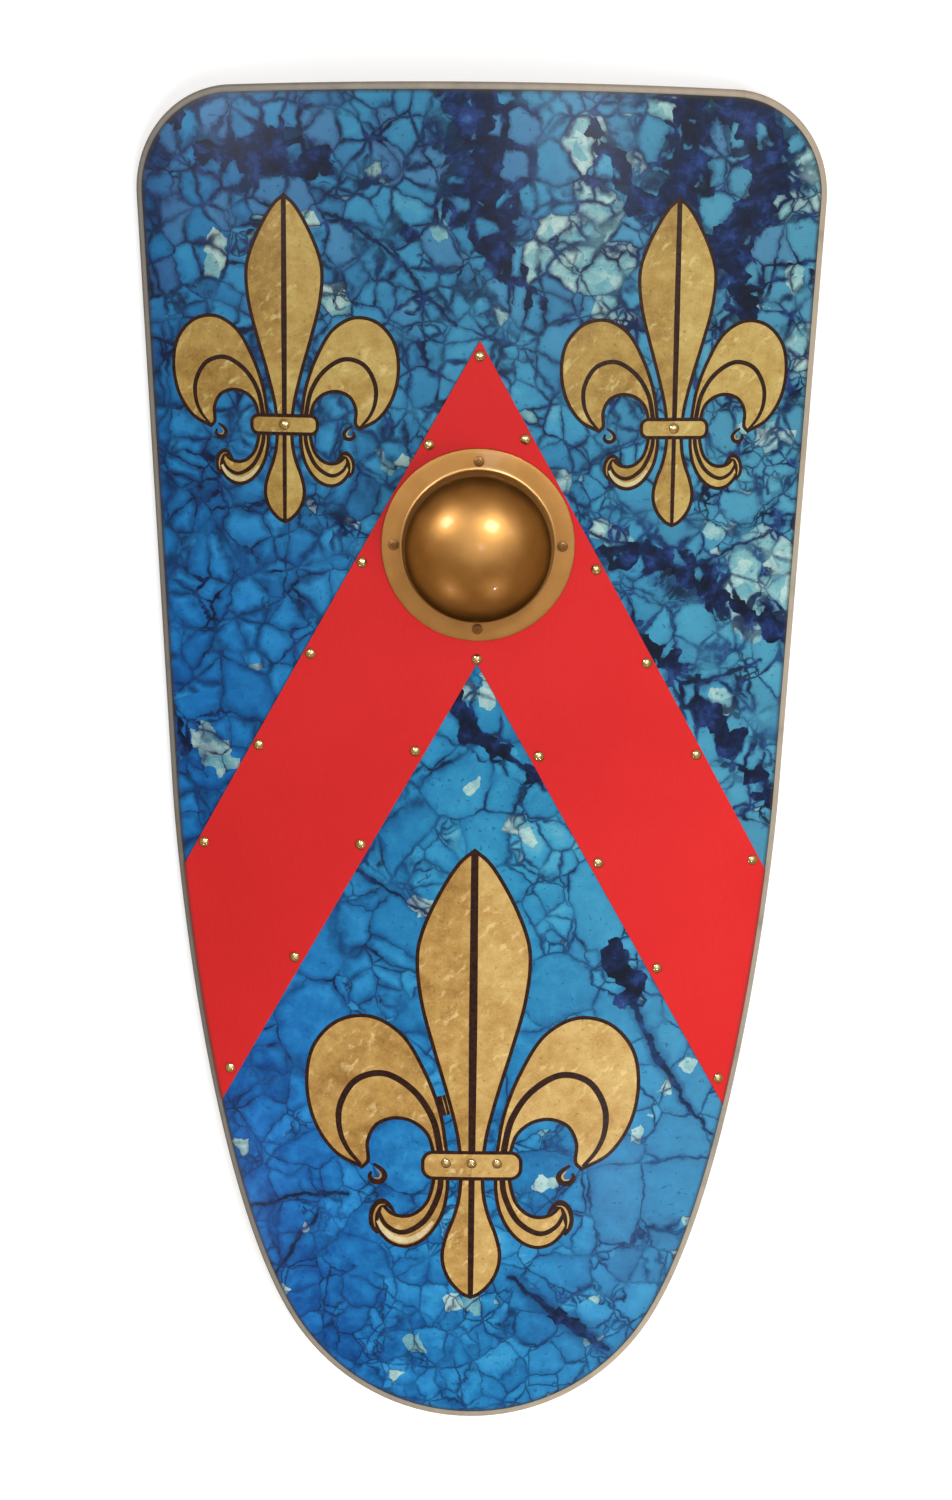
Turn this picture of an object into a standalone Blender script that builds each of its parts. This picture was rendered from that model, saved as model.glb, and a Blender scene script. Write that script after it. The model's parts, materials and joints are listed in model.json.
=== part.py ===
"""A tall bowed shield of plywood with a printed facing, a red chevron and a gilt hand boss.

Metres, +Z up. The shield lies on its back with its face up, +Y towards its top edge and +X to
its right as seen from the front. Each piece is drawn on the flat, with u across the board, y
along it and w the height over the board's front, and is then bowed about the board's long axis.
"""
from math import asin, atan2, cos, pi, radians, sin, tan

import bmesh
import bpy
from mathutils import Matrix, Vector

# The board's outline, seen flat
HEIGHT = 1.100
SHOULDER_WIDTH = 0.549
WAIST_WIDTH = 0.503
WAIST_ABOVE_TIP = 0.540
CORNER_RADIUS = 0.080
TOP_EDGE_BOW = 0.003
TIP_RADIUS = 0.180
TIP_HALF_ANGLE = radians(54)
FLANK_PULL_AT_WAIST = 0.20
FLANK_PULL_AT_TIP = 0.25

# The board's body
BOW_RADIUS = 1.000
BOARD_THICKNESS = 0.008
BOARD_ROUNDING = 0.003

# The sheets on its front
BARE_RIM = 0.006
FACING_THICKNESS = 0.0008
CHEVRON_THICKNESS = 0.0010
CHEVRON_BELOW_TOP = 0.195
CHEVRON_HALF_ANGLE = radians(29.25)
CHEVRON_BAND = 0.1244

# The boss and the hand hole behind it
BOSS_BELOW_TOP = 0.355
DOME_RADIUS = 0.0585
DOME_RISE = 0.060
DOME_NECK = 0.018
DOME_FILLET = 0.003
FLANGE_WIDTH = 0.0178
FLANGE_EDGE_EASE = 0.0004
BOSS_WALL = 0.0012
HAND_HOLE_INSET = 0.0065
BOSS_SCREW_SHARE = 0.45
BOSS_SCREW_HEAD_RADIUS = 0.0042
BOSS_SCREW_HEAD_RISE = 0.0018
BOSS_SCREW_SHANK_RADIUS = 0.0015

# The chevron's nails and the fleurs' studs
NAIL_HEAD_RADIUS = 0.0040
NAIL_HEAD_RISE = 0.0024
NAIL_SHANK_RADIUS = 0.0009
NAIL_COVER = 0.0026
HEAD_EDGE_SHARE = 0.2
POINT_NAIL_DROP = 0.012
NOTCH_NAIL_RISE = 0.0035
OUTER_NAIL_INSET = 0.0056
INNER_NAIL_INSET = 0.0072
OUTER_NAILS_LEFT = (0.183, 0.401, 0.574, 0.752, 0.947)
OUTER_NAILS_RIGHT = (0.171, 0.410, 0.586, 0.763, 0.972)
INNER_NAILS_LEFT = (0.201, 0.410, 0.669, 0.933)
INNER_NAILS_RIGHT = (0.210, 0.446, 0.686, 0.946)
UPPER_STUD_SPREAD = 0.307
UPPER_STUDS_BELOW_TOP = 0.2627
LOWER_STUDS_ABOVE_TIP = 0.2285
LOWER_STUD_SPACING = 0.0212

# The hand grip across the back
GRIP_LENGTH = 0.250
GRIP_FOOT_LENGTH = 0.050
GRIP_FOOT_WIDTH = 0.036
GRIP_FOOT_THICKNESS = 0.010
GRIP_HANDLE_WIDTH = 0.027
GRIP_HANDLE_THICKNESS = 0.020
GRIP_ROUNDING = 0.0035
GRIP_SCREW_INSET = 0.020
GRIP_SCREW_HEAD_RADIUS = 0.0040
GRIP_SCREW_HEAD_RISE = 0.0020
GRIP_SCREW_SHANK_RADIUS = 0.0016

# Clearances, and the most of a thickness that one edge's rounding may take
GAP = 0.0003
HOLE_CLEARANCE = 0.0004
MOST_ROUNDING = 0.45

# How close two points are the same point, and how flat two faces are one face
WELD = 0.00002
FINE_WELD = 0.000001
FLAT_ANGLE = radians(0.4)
SHARP_ANGLE = radians(35)
GRIP_SHARP_ANGLE = radians(50)

# How finely the round shapes are divided
STRIPS = 22
TOP_STEPS = 7
CORNER_STEPS = 9
SIDE_STEPS = 6
FLANK_STEPS = 12
TIP_STEPS = 8
ROUNDING_STEPS = 1
DOME_STEPS = 7
LINING_STEPS = 4
FILLET_STEPS = 2
BOSS_SIDES = 40
HEAD_STEPS = 2
FASTENER_SIDES = 8
HOLE_SIDES = 6
HAND_HOLE_SIDES = 32
GRIP_STRIPS = 16
GRIP_END_STEPS = 5

# Heights over the board's front
FACING_LOW = GAP
FACING_TOP = FACING_LOW + FACING_THICKNESS
CHEVRON_LOW = FACING_TOP + GAP
CHEVRON_TOP = CHEVRON_LOW + CHEVRON_THICKNESS
FLANGE_LOW = CHEVRON_TOP + GAP
FLANGE_TOP = FLANGE_LOW + BOSS_WALL
GRIP_FRONT = -BOARD_THICKNESS - GAP
GRIP_HANDLE_BACK = GRIP_FRONT - GRIP_HANDLE_THICKNESS

TOP_Y = HEIGHT / 2
TIP_Y = -HEIGHT / 2
BOSS_Y = TOP_Y - BOSS_BELOW_TOP
FLANGE_RADIUS = DOME_RADIUS + FLANGE_WIDTH
HAND_HOLE_RADIUS = DOME_RADIUS - HAND_HOLE_INSET
POINT_Y = TOP_Y - CHEVRON_BELOW_TOP
NOTCH_Y = POINT_Y - CHEVRON_BAND / sin(CHEVRON_HALF_ANGLE)

LINEN_TAN = (0.42, 0.33, 0.22)
PRINT_BLUE = (0.04, 0.17, 0.42)
CHEVRON_RED = (0.70, 0.02, 0.02)
GILT = (0.50, 0.27, 0.07)
BRASS = (0.62, 0.46, 0.20)
ASH_WOOD = (0.46, 0.29, 0.15)
ZINC = (0.55, 0.55, 0.53)


def clear_scene():
    for old in list(bpy.data.objects):
        bpy.data.objects.remove(old, do_unlink=True)


def make_collection(name):
    collection = bpy.data.collections.new(name)
    bpy.context.scene.collection.children.link(collection)
    return collection


def make_material(name, colour, roughness, metallic):
    material = bpy.data.materials.new(name)
    material.use_nodes = True
    shader = material.node_tree.nodes["Principled BSDF"]
    shader.inputs["Base Color"].default_value = (*colour, 1.0)
    shader.inputs["Roughness"].default_value = roughness
    shader.inputs["Metallic"].default_value = metallic
    return material


def bowed(u, y, w):
    """Where a point drawn on the flat comes to lie on the bowed board."""
    angle = u / BOW_RADIUS
    reach = BOW_RADIUS + w
    return Vector((reach * sin(angle), y, reach * cos(angle) - BOW_RADIUS))


def bow_mesh(mesh, lift):
    """Bows a mesh drawn on the flat, its own z counted from the height lift."""
    for vertex in mesh.vertices:
        u, y, z = vertex.co
        vertex.co = bowed(u, y, z + lift)


def stand_on_board(place, w):
    """The placing of a piece square to the bowed board, its own +Z pointing out of it."""
    turn = Matrix.Rotation(place.x / BOW_RADIUS, 4, "Y")
    return Matrix.Translation(bowed(place.x, place.y, w)) @ turn


def bezier(start, start_pull, end_pull, end, t):
    s = 1.0 - t
    return start * s ** 3 + start_pull * 3 * s * s * t + end_pull * 3 * s * t * t + end * t ** 3


def top_corner():
    """The upper corner: its arc's centre and the angle at which the side leaves it."""
    centre = Vector((SHOULDER_WIDTH / 2 - CORNER_RADIUS, TOP_Y - TOP_EDGE_BOW - CORNER_RADIUS))
    waist = Vector((WAIST_WIDTH / 2, TIP_Y + WAIST_ABOVE_TIP))
    away = waist - centre
    leave = atan2(away.y, away.x) + pi / 2 - asin(CORNER_RADIUS / away.length)
    return centre, leave


def half_outline():
    """The right half of the board's outline, from the middle of the top edge to the tip."""
    centre, leave = top_corner()
    points = []
    for step in range(TOP_STEPS):
        share = step / TOP_STEPS
        points.append(Vector((centre.x * share, TOP_Y - TOP_EDGE_BOW * share * share)))
    for step in range(CORNER_STEPS + 1):
        angle = pi / 2 + (leave - pi / 2) * step / CORNER_STEPS
        points.append(centre + CORNER_RADIUS * Vector((cos(angle), sin(angle))))
    side_top = points[-1]
    waist = Vector((WAIST_WIDTH / 2, TIP_Y + WAIST_ABOVE_TIP))
    for step in range(1, SIDE_STEPS + 1):
        points.append(side_top.lerp(waist, step / SIDE_STEPS))
    tip_centre = Vector((0.0, TIP_Y + TIP_RADIUS))
    turn = TIP_HALF_ANGLE
    tip_start = tip_centre + TIP_RADIUS * Vector((sin(turn), -cos(turn)))
    reach = (tip_start - waist).length
    start_pull = waist + (waist - side_top).normalized() * FLANK_PULL_AT_WAIST * reach
    end_pull = tip_start + Vector((cos(turn), sin(turn))) * FLANK_PULL_AT_TIP * reach
    for step in range(1, FLANK_STEPS + 1):
        points.append(bezier(waist, start_pull, end_pull, tip_start, step / FLANK_STEPS))
    for step in range(1, TIP_STEPS + 1):
        angle = turn * (1.0 - step / TIP_STEPS)
        points.append(tip_centre + TIP_RADIUS * Vector((sin(angle), -cos(angle))))
    return points


def mirrored(half):
    """A half outline that starts and ends on the middle line, closed by its mirror image."""
    left = [Vector((-point.x, point.y)) for point in half[-2:0:-1]]
    return half + left


def board_outline(inset):
    """The board's whole outline, clockwise from the top, drawn in by an inset."""
    whole = mirrored(half_outline())
    count = len(whole)
    drawn = []
    for index, point in enumerate(whole):
        along = (whole[(index + 1) % count] - whole[index - 1]).normalized()
        inward = Vector((along.y, -along.x))
        drawn.append(point + inward * inset)
    return drawn


def chevron_half_width(point_y, y):
    """How far from the middle line a chevron's edge lies at y, its point being at point_y."""
    return (point_y - y) * tan(CHEVRON_HALF_ANGLE)


def right_rim(inset):
    """The right side of the drawn-in outline, from the corner down to the tip."""
    half_count = len(half_outline())
    return board_outline(inset)[:half_count]


def rim_crossing(point_y):
    """Where a chevron's edge meets the facing's right side, and the index of the next rim point."""
    rim = right_rim(BARE_RIM)
    for index in range(TOP_STEPS + CORNER_STEPS, len(rim)):
        above = rim[index - 1]
        below = rim[index]
        over = above.x - chevron_half_width(point_y, above.y)
        under = below.x - chevron_half_width(point_y, below.y)
        if over > 0.0 >= under:
            return above.lerp(below, over / (over - under)), index
    raise ValueError("the chevron's edge misses the shield's side")


def chevron_outline():
    """The band: its point, its foot along the facing's side, and its notch."""
    outer_end, first = rim_crossing(POINT_Y)
    inner_end, last = rim_crossing(NOTCH_Y)
    half = [Vector((0.0, POINT_Y)), outer_end]
    half += right_rim(BARE_RIM)[first:last]
    half += [inner_end, Vector((0.0, NOTCH_Y))]
    return mirrored(half)


def edge_nails(point_y, shares, inset, side):
    """Places of the nails along one edge of the chevron, inset to the band's side of it."""
    end, _ = rim_crossing(point_y)
    start = Vector((0.0, point_y))
    across = Vector((-cos(CHEVRON_HALF_ANGLE), -sin(CHEVRON_HALF_ANGLE))) * inset
    places = [start.lerp(end, share) + across for share in shares]
    return [Vector((place.x * side, place.y)) for place in places]


def nail_places():
    """Every chevron nail, by name."""
    outer = OUTER_NAIL_INSET
    inner = -INNER_NAIL_INSET
    runs = {
        "outer_left": edge_nails(POINT_Y, OUTER_NAILS_LEFT, outer, -1),
        "outer_right": edge_nails(POINT_Y, OUTER_NAILS_RIGHT, outer, 1),
        "inner_left": edge_nails(NOTCH_Y, INNER_NAILS_LEFT, inner, -1),
        "inner_right": edge_nails(NOTCH_Y, INNER_NAILS_RIGHT, inner, 1),
    }
    places = {
        "chevron_nail_point": Vector((0.0, POINT_Y - POINT_NAIL_DROP)),
        "chevron_nail_notch": Vector((0.0, NOTCH_Y + NOTCH_NAIL_RISE)),
    }
    for run, spots in runs.items():
        for number, spot in enumerate(spots, start=1):
            places[f"chevron_nail_{run}_{number}"] = spot
    return places


def stud_places():
    """The five studs on the clasps of the printed fleurs, by name."""
    upper_y = TOP_Y - UPPER_STUDS_BELOW_TOP
    lower_y = TIP_Y + LOWER_STUDS_ABOVE_TIP
    return {
        "fleur_stud_upper_left": Vector((-UPPER_STUD_SPREAD / 2, upper_y)),
        "fleur_stud_upper_right": Vector((UPPER_STUD_SPREAD / 2, upper_y)),
        "fleur_stud_lower_left": Vector((-LOWER_STUD_SPACING, lower_y)),
        "fleur_stud_lower_middle": Vector((0.0, lower_y)),
        "fleur_stud_lower_right": Vector((LOWER_STUD_SPACING, lower_y)),
    }


def boss_screw_places():
    """The boss's four screws, at the four quarters of its flange."""
    reach = DOME_RADIUS + BOSS_SCREW_SHARE * FLANGE_WIDTH
    return {
        "boss_screw_top": Vector((0.0, BOSS_Y + reach)),
        "boss_screw_right": Vector((reach, BOSS_Y)),
        "boss_screw_bottom": Vector((0.0, BOSS_Y - reach)),
        "boss_screw_left": Vector((-reach, BOSS_Y)),
    }


def grip_screw_reach():
    return GRIP_LENGTH / 2 - GRIP_SCREW_INSET


def grip_foot_back():
    """The height of the feet's back, counted from the board's front at its middle line."""
    return bowed(grip_screw_reach(), 0.0, GRIP_FRONT).z - GRIP_FOOT_THICKNESS


def grip_rounding():
    """The grip's edge rounding, held under half of its thinnest place, the feet's ends."""
    thinnest = bowed(GRIP_LENGTH / 2, 0.0, GRIP_FRONT).z - grip_foot_back()
    return min(GRIP_ROUNDING, MOST_ROUNDING * thinnest)


def flat_mesh(name, outline, thickness, rounding, strip):
    """A flat plate of an outline, cut into strips along y so that it can be bowed."""
    curve = bpy.data.curves.new(name, "CURVE")
    curve.dimensions = "2D"
    curve.fill_mode = "BOTH"
    curve.extrude = thickness / 2 - rounding
    curve.bevel_depth = rounding
    curve.bevel_resolution = ROUNDING_STEPS
    spline = curve.splines.new("POLY")
    spline.points.add(len(outline) - 1)
    for point, place in zip(spline.points, outline):
        point.co = (place.x, place.y, 0.0, 1.0)
    spline.use_cyclic_u = True
    drawing = bpy.data.objects.new(name, curve)
    bpy.context.scene.collection.objects.link(drawing)
    bpy.context.view_layer.update()
    evaluated = drawing.evaluated_get(bpy.context.evaluated_depsgraph_get())
    mesh = bpy.data.meshes.new_from_object(evaluated)
    bpy.data.objects.remove(drawing, do_unlink=True)
    bpy.data.curves.remove(curve)

    shape = bmesh.new()
    shape.from_mesh(mesh)
    bmesh.ops.remove_doubles(shape, verts=shape.verts, dist=WELD)
    widest = max(abs(place.x) for place in outline)
    cut_count = int(widest / strip)
    for cut in range(-cut_count, cut_count + 1):
        geometry = shape.verts[:] + shape.edges[:] + shape.faces[:]
        bmesh.ops.bisect_plane(
            shape, geom=geometry, dist=FINE_WELD, plane_co=(cut * strip, 0, 0), plane_no=(1, 0, 0)
        )
    bmesh.ops.recalc_face_normals(shape, faces=shape.faces)
    shape.to_mesh(mesh)
    shape.free()
    return mesh


def merge_flat_faces(mesh):
    """Joins the faces of each strip that lie in one plane."""
    shape = bmesh.new()
    shape.from_mesh(mesh)
    bmesh.ops.dissolve_limit(
        shape, angle_limit=FLAT_ANGLE, verts=shape.verts, edges=shape.edges
    )
    shape.to_mesh(mesh)
    shape.free()


def finish_piece(name, mesh, material, collection, sharp_angle=SHARP_ANGLE):
    mesh.materials.clear()
    mesh.materials.append(material)
    mesh.shade_smooth()
    mesh.set_sharp_from_angle(angle=sharp_angle)
    piece = bpy.data.objects.new(name, mesh)
    collection.objects.link(piece)
    return piece


def make_sheet(name, outline, low, high, rounding, material, collection):
    """A bowed sheet between two heights over the board's front."""
    mesh = flat_mesh(name, outline, high - low, rounding, SHOULDER_WIDTH / STRIPS)
    bow_mesh(mesh, (low + high) / 2)
    merge_flat_faces(mesh)
    return finish_piece(name, mesh, material, collection)


def turned_mesh(name, profile, sides):
    """A solid turned about its own Z axis from a profile that runs down its outer side."""
    mesh = bpy.data.meshes.new(name)
    edges = [(index, index + 1) for index in range(len(profile) - 1)]
    mesh.from_pydata([(radius, 0.0, height) for radius, height in profile], edges, [])
    blank = bpy.data.objects.new(name, mesh)
    bpy.context.scene.collection.objects.link(blank)
    screw = blank.modifiers.new("turn", "SCREW")
    screw.steps = sides
    screw.render_steps = sides
    screw.use_merge_vertices = True
    screw.merge_threshold = FINE_WELD
    bpy.context.view_layer.update()
    evaluated = blank.evaluated_get(bpy.context.evaluated_depsgraph_get())
    turned = bpy.data.meshes.new_from_object(evaluated)
    bpy.data.objects.remove(blank, do_unlink=True)
    bpy.data.meshes.remove(mesh)
    return turned


def dome_line(offset, dome_steps):
    """The boss from crown to flange: a low dome, a straight neck and a fillet, moved in by offset.

    Heights are counted from the flange's upper face.
    """
    reach = DOME_RADIUS - offset
    rise = DOME_RISE - DOME_NECK - offset
    points = []
    for step in range(dome_steps + 1):
        angle = pi / 2 * step / dome_steps
        points.append((reach * sin(angle), DOME_NECK + rise * cos(angle)))
    radius = DOME_FILLET + offset
    for step in range(FILLET_STEPS + 1):
        angle = pi / 2 * (1.0 - step / FILLET_STEPS)
        out = DOME_RADIUS + DOME_FILLET - radius * sin(angle)
        points.append((out, DOME_FILLET - radius * cos(angle)))
    return points


def boss_profile():
    ease = min(FLANGE_EDGE_EASE, MOST_ROUNDING * BOSS_WALL)
    rim = [
        (FLANGE_RADIUS - ease, 0.0),
        (FLANGE_RADIUS, -ease),
        (FLANGE_RADIUS, ease - BOSS_WALL),
        (FLANGE_RADIUS - ease, -BOSS_WALL),
    ]
    return dome_line(0.0, DOME_STEPS) + rim + dome_line(BOSS_WALL, LINING_STEPS)[::-1]


def make_boss(material, collection):
    """A hollow dome on a flange, bent to the board's bow."""
    mesh = turned_mesh("boss", boss_profile(), BOSS_SIDES)
    mesh.transform(Matrix.Translation((0.0, BOSS_Y, 0.0)))
    bow_mesh(mesh, FLANGE_TOP)
    return finish_piece("boss", mesh, material, collection)


def fastener_profile(head_radius, head_rise, shank_radius, shank_length):
    """A domed head over z = 0 and a pointed shank under it."""
    crown = head_rise * (1.0 - HEAD_EDGE_SHARE)
    sphere = (head_radius ** 2 + crown ** 2) / (2 * crown)
    turn = asin(head_radius / sphere)
    points = []
    for step in range(HEAD_STEPS + 1):
        angle = turn * step / HEAD_STEPS
        points.append((sphere * sin(angle), head_rise - sphere * (1.0 - cos(angle))))
    points.append((head_radius, 0.0))
    points.append((shank_radius, 0.0))
    points.append((shank_radius, 2 * shank_radius - shank_length))
    points.append((0.0, -shank_length))
    return points


def make_fasteners(stands, profile, material, collection):
    """One object for each named stand, all sharing one turned mesh."""
    shared = turned_mesh("fastener", profile, FASTENER_SIDES)
    made = []
    for name, stand in stands.items():
        piece = finish_piece(name, shared, material, collection)
        piece.matrix_world = stand
        made.append(piece)
    return made


def make_nails(places, seat, material, collection):
    """Nails whose heads bear on the sheet that ends just under seat."""
    length = seat + BOARD_THICKNESS - NAIL_COVER
    profile = fastener_profile(NAIL_HEAD_RADIUS, NAIL_HEAD_RISE, NAIL_SHANK_RADIUS, length)
    stands = {name: stand_on_board(place, seat) for name, place in places.items()}
    return make_fasteners(stands, profile, material, collection)


def make_boss_screws(material, collection):
    seat = FLANGE_TOP + GAP
    length = seat + BOARD_THICKNESS - NAIL_COVER
    profile = fastener_profile(
        BOSS_SCREW_HEAD_RADIUS, BOSS_SCREW_HEAD_RISE, BOSS_SCREW_SHANK_RADIUS, length
    )
    stands = {name: stand_on_board(place, seat) for name, place in boss_screw_places().items()}
    return make_fasteners(stands, profile, material, collection)


def make_grip_screws(material, collection):
    """Screws driven from the back, through the grip's feet and into the board."""
    seat = grip_foot_back() - GAP
    length = grip_hole_top() - GAP - seat
    profile = fastener_profile(
        GRIP_SCREW_HEAD_RADIUS, GRIP_SCREW_HEAD_RISE, GRIP_SCREW_SHANK_RADIUS, length
    )
    backward = Matrix.Rotation(pi, 4, "Y")
    reach = grip_screw_reach()
    stands = {
        "grip_screw_left": Matrix.Translation((-reach, BOSS_Y, seat)) @ backward,
        "grip_screw_right": Matrix.Translation((reach, BOSS_Y, seat)) @ backward,
    }
    return make_fasteners(stands, profile, material, collection)


def grip_hole_top():
    """The closed end of the grip screws' holes in the board."""
    return bowed(grip_screw_reach(), 0.0, -NAIL_COVER).z


def eased(value, low, high):
    """0 below low, 1 above high, and a smooth rise between them."""
    share = min(max((value - low) / (high - low), 0.0), 1.0)
    return share * share * (3.0 - 2.0 * share)


def grip_shares(u):
    """How much of the grip is foot at u: 0 at the handle, 1 at the feet."""
    foot_start = GRIP_LENGTH / 2 - GRIP_FOOT_LENGTH
    return eased(abs(u), foot_start - GRIP_HANDLE_WIDTH, foot_start)


def grip_outline():
    """The grip seen flat: a waisted handle between two round-ended feet."""
    rounding = grip_rounding()
    end_radius = GRIP_FOOT_WIDTH / 2
    end_u = GRIP_LENGTH / 2 - end_radius
    upper = []
    for step in range(-GRIP_STRIPS // 2, GRIP_STRIPS // 2 + 1):
        u = 2 * end_u * step / GRIP_STRIPS
        half = GRIP_HANDLE_WIDTH + (GRIP_FOOT_WIDTH - GRIP_HANDLE_WIDTH) * grip_shares(u)
        upper.append(Vector((u, half / 2 - rounding)))
    right_end = []
    for step in range(1, GRIP_END_STEPS):
        angle = pi / 2 - pi * step / GRIP_END_STEPS
        reach = end_radius - rounding
        right_end.append(Vector((end_u + reach * cos(angle), reach * sin(angle))))
    lower = [Vector((place.x, -place.y)) for place in reversed(upper)]
    left_end = [Vector((-place.x, place.y)) for place in reversed(right_end)]
    return upper + right_end + lower + left_end


def make_grip(material, collection):
    """A wooden bar behind the hand hole: its front fits the board's hollow back, and the
    backs of its handle and feet are flat.
    """
    half = GRIP_HANDLE_THICKNESS / 2
    strip = (GRIP_LENGTH - GRIP_FOOT_WIDTH) / GRIP_STRIPS
    mesh = flat_mesh("grip", grip_outline(), 2 * half, grip_rounding(), strip)
    foot_rise = grip_foot_back() - GRIP_HANDLE_BACK
    for vertex in mesh.vertices:
        u, y, z = vertex.co
        if z > 0.0:
            vertex.co = bowed(u, y + BOSS_Y, GRIP_FRONT - half + z)
        else:
            back = GRIP_HANDLE_BACK + foot_rise * grip_shares(u)
            vertex.co = (bowed(u, y, GRIP_FRONT).x, y + BOSS_Y, back + half + z)
    merge_flat_faces(mesh)
    return finish_piece("grip", mesh, material, collection, GRIP_SHARP_ANGLE)


def make_cutter(name, stands, radius, length, sides, collection):
    """One cutter with a round peg centred on each stand."""
    shape = bmesh.new()
    for stand in stands:
        bmesh.ops.create_cone(
            shape, cap_ends=True, segments=sides, radius1=radius, radius2=radius,
            depth=length, matrix=stand
        )
    mesh = bpy.data.meshes.new(name)
    shape.to_mesh(mesh)
    shape.free()
    cutter = bpy.data.objects.new(name, mesh)
    cutter.hide_render = True
    cutter.display_type = "WIRE"
    collection.objects.link(cutter)
    return cutter


def front_holes(name, places, shank_radius, collection):
    """Blind holes from the front for shanks that stop short of the board's back."""
    low = NAIL_COVER - GAP - BOARD_THICKNESS
    high = FLANGE_TOP + GAP
    stands = [stand_on_board(place, (low + high) / 2) for place in places]
    radius = shank_radius + HOLE_CLEARANCE
    return make_cutter(name, stands, radius, high - low, HOLE_SIDES, collection)


def make_grip_holes(collection):
    """Holes right through the grip's feet and part way into the board."""
    low = GRIP_HANDLE_BACK
    high = grip_hole_top()
    reach = grip_screw_reach()
    middle = (low + high) / 2
    stands = [Matrix.Translation((side * reach, BOSS_Y, middle)) for side in (-1, 1)]
    radius = GRIP_SCREW_SHANK_RADIUS + HOLE_CLEARANCE
    return make_cutter("grip_screw_holes", stands, radius, high - low, HOLE_SIDES, collection)


def make_hand_hole(collection):
    """The round hole behind the boss, cut through the board and both sheets."""
    length = 2 * HAND_HOLE_RADIUS
    stand = Matrix.Translation((0.0, BOSS_Y, 0.0))
    return make_cutter(
        "hand_hole", [stand], HAND_HOLE_RADIUS, length, HAND_HOLE_SIDES, collection
    )


def cut(piece, *cutters):
    for cutter in cutters:
        boolean = piece.modifiers.new(cutter.name, "BOOLEAN")
        boolean.operation = "DIFFERENCE"
        boolean.solver = "EXACT"
        boolean.object = cutter


def rest_tilt(points, balance_y):
    """The turn about X that brings the lowest edge under balance_y level with the floor."""
    spots = sorted((point.y, point.z) for point in points)
    hull = []
    for spot in spots:
        while len(hull) > 1:
            (y1, z1), (y2, z2) = hull[-2:]
            if (y2 - y1) * (spot[1] - z1) - (z2 - z1) * (spot[0] - y1) > 0.0:
                break
            hull.pop()
        hull.append(spot)
    for (y1, z1), (y2, z2) in zip(hull, hull[1:]):
        if y1 <= balance_y <= y2:
            return -atan2(z2 - z1, y2 - y1)
    raise ValueError("the shield has no edge under its balance point")


def lay_on_floor(board, pieces):
    """Hangs the pieces on an empty that lays the shield on its two long edges."""
    corners = [vertex.co for vertex in board.data.vertices]
    tilt = rest_tilt(corners, 0.0)
    turn = Matrix.Rotation(tilt, 4, "X")
    laid = [turn @ corner for corner in corners]
    middle = (min(point.y for point in laid) + max(point.y for point in laid)) / 2
    rest = bpy.data.objects.new("rest", None)
    bpy.context.scene.collection.objects.link(rest)
    rest.rotation_euler = (tilt, 0.0, 0.0)
    rest.location = (0.0, -middle, -min(point.z for point in laid))
    for piece in pieces:
        piece.parent = rest


def make_board(material, collection):
    outline = board_outline(BOARD_ROUNDING)
    return make_sheet("board", outline, -BOARD_THICKNESS, 0.0, BOARD_ROUNDING, material, collection)


def make_facing(material, collection):
    outline = board_outline(BARE_RIM)
    return make_sheet(
        "printed_facing", outline, FACING_LOW, FACING_TOP, 0.0, material, collection
    )


def make_chevron(material, collection):
    outline = chevron_outline()
    return make_sheet("chevron", outline, CHEVRON_LOW, CHEVRON_TOP, 0.0, material, collection)


def main():
    clear_scene()
    parts = make_collection("kite_shield")
    cutters = make_collection("cutters")

    board = make_board(make_material("bare_plywood", LINEN_TAN, 0.7, 0.0), parts)
    facing = make_facing(make_material("printed_sheet", PRINT_BLUE, 0.35, 0.0), parts)
    chevron = make_chevron(make_material("red_band", CHEVRON_RED, 0.6, 0.0), parts)
    boss = make_boss(make_material("gilt_steel", GILT, 0.35, 1.0), parts)
    grip = make_grip(make_material("oiled_ash", ASH_WOOD, 0.6, 0.0), parts)

    brass = make_material("polished_brass", BRASS, 0.2, 1.0)
    gilt_screw = make_material("gilt_screw", GILT, 0.35, 1.0)
    zinc = make_material("zinc_screw", ZINC, 0.35, 1.0)
    nails = make_nails(nail_places(), CHEVRON_TOP + GAP, brass, parts)
    studs = make_nails(stud_places(), FACING_TOP + GAP, brass, parts)
    boss_screws = make_boss_screws(gilt_screw, parts)
    grip_screws = make_grip_screws(zinc, parts)

    nail_holes = front_holes(
        "nail_holes", [*nail_places().values(), *stud_places().values()],
        NAIL_SHANK_RADIUS, cutters
    )
    screw_holes = front_holes(
        "boss_screw_holes", boss_screw_places().values(), BOSS_SCREW_SHANK_RADIUS, cutters
    )
    grip_holes = make_grip_holes(cutters)
    hand_hole = make_hand_hole(cutters)
    cut(board, hand_hole, nail_holes, screw_holes, grip_holes)
    cut(facing, hand_hole, nail_holes, screw_holes)
    cut(chevron, hand_hole, nail_holes, screw_holes)
    cut(boss, screw_holes)
    cut(grip, grip_holes)

    pieces = [board, facing, chevron, boss, grip, *nails, *studs, *boss_screws, *grip_screws]
    cutter_objects = [nail_holes, screw_holes, grip_holes, hand_hole]
    lay_on_floor(board, pieces + cutter_objects)


main()
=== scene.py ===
"""The looks of a tall bowed shield: blue stone print, gold fleurs, red chevron and gilt boss.

The shield lies face up. Its sheets are drawn on the flat, u across the board, y along it and w
over its front, and are then bowed about the long axis and laid down as the frame lies. All sizes
are metres.
"""
import json
from functools import reduce
from math import asin, atan2, ceil, cos, hypot, pi, radians, sin, sqrt, tan

import bmesh
import bpy
import numpy as np
from mathutils import Matrix, Vector
from mathutils.geometry import delaunay_2d_cdt


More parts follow.
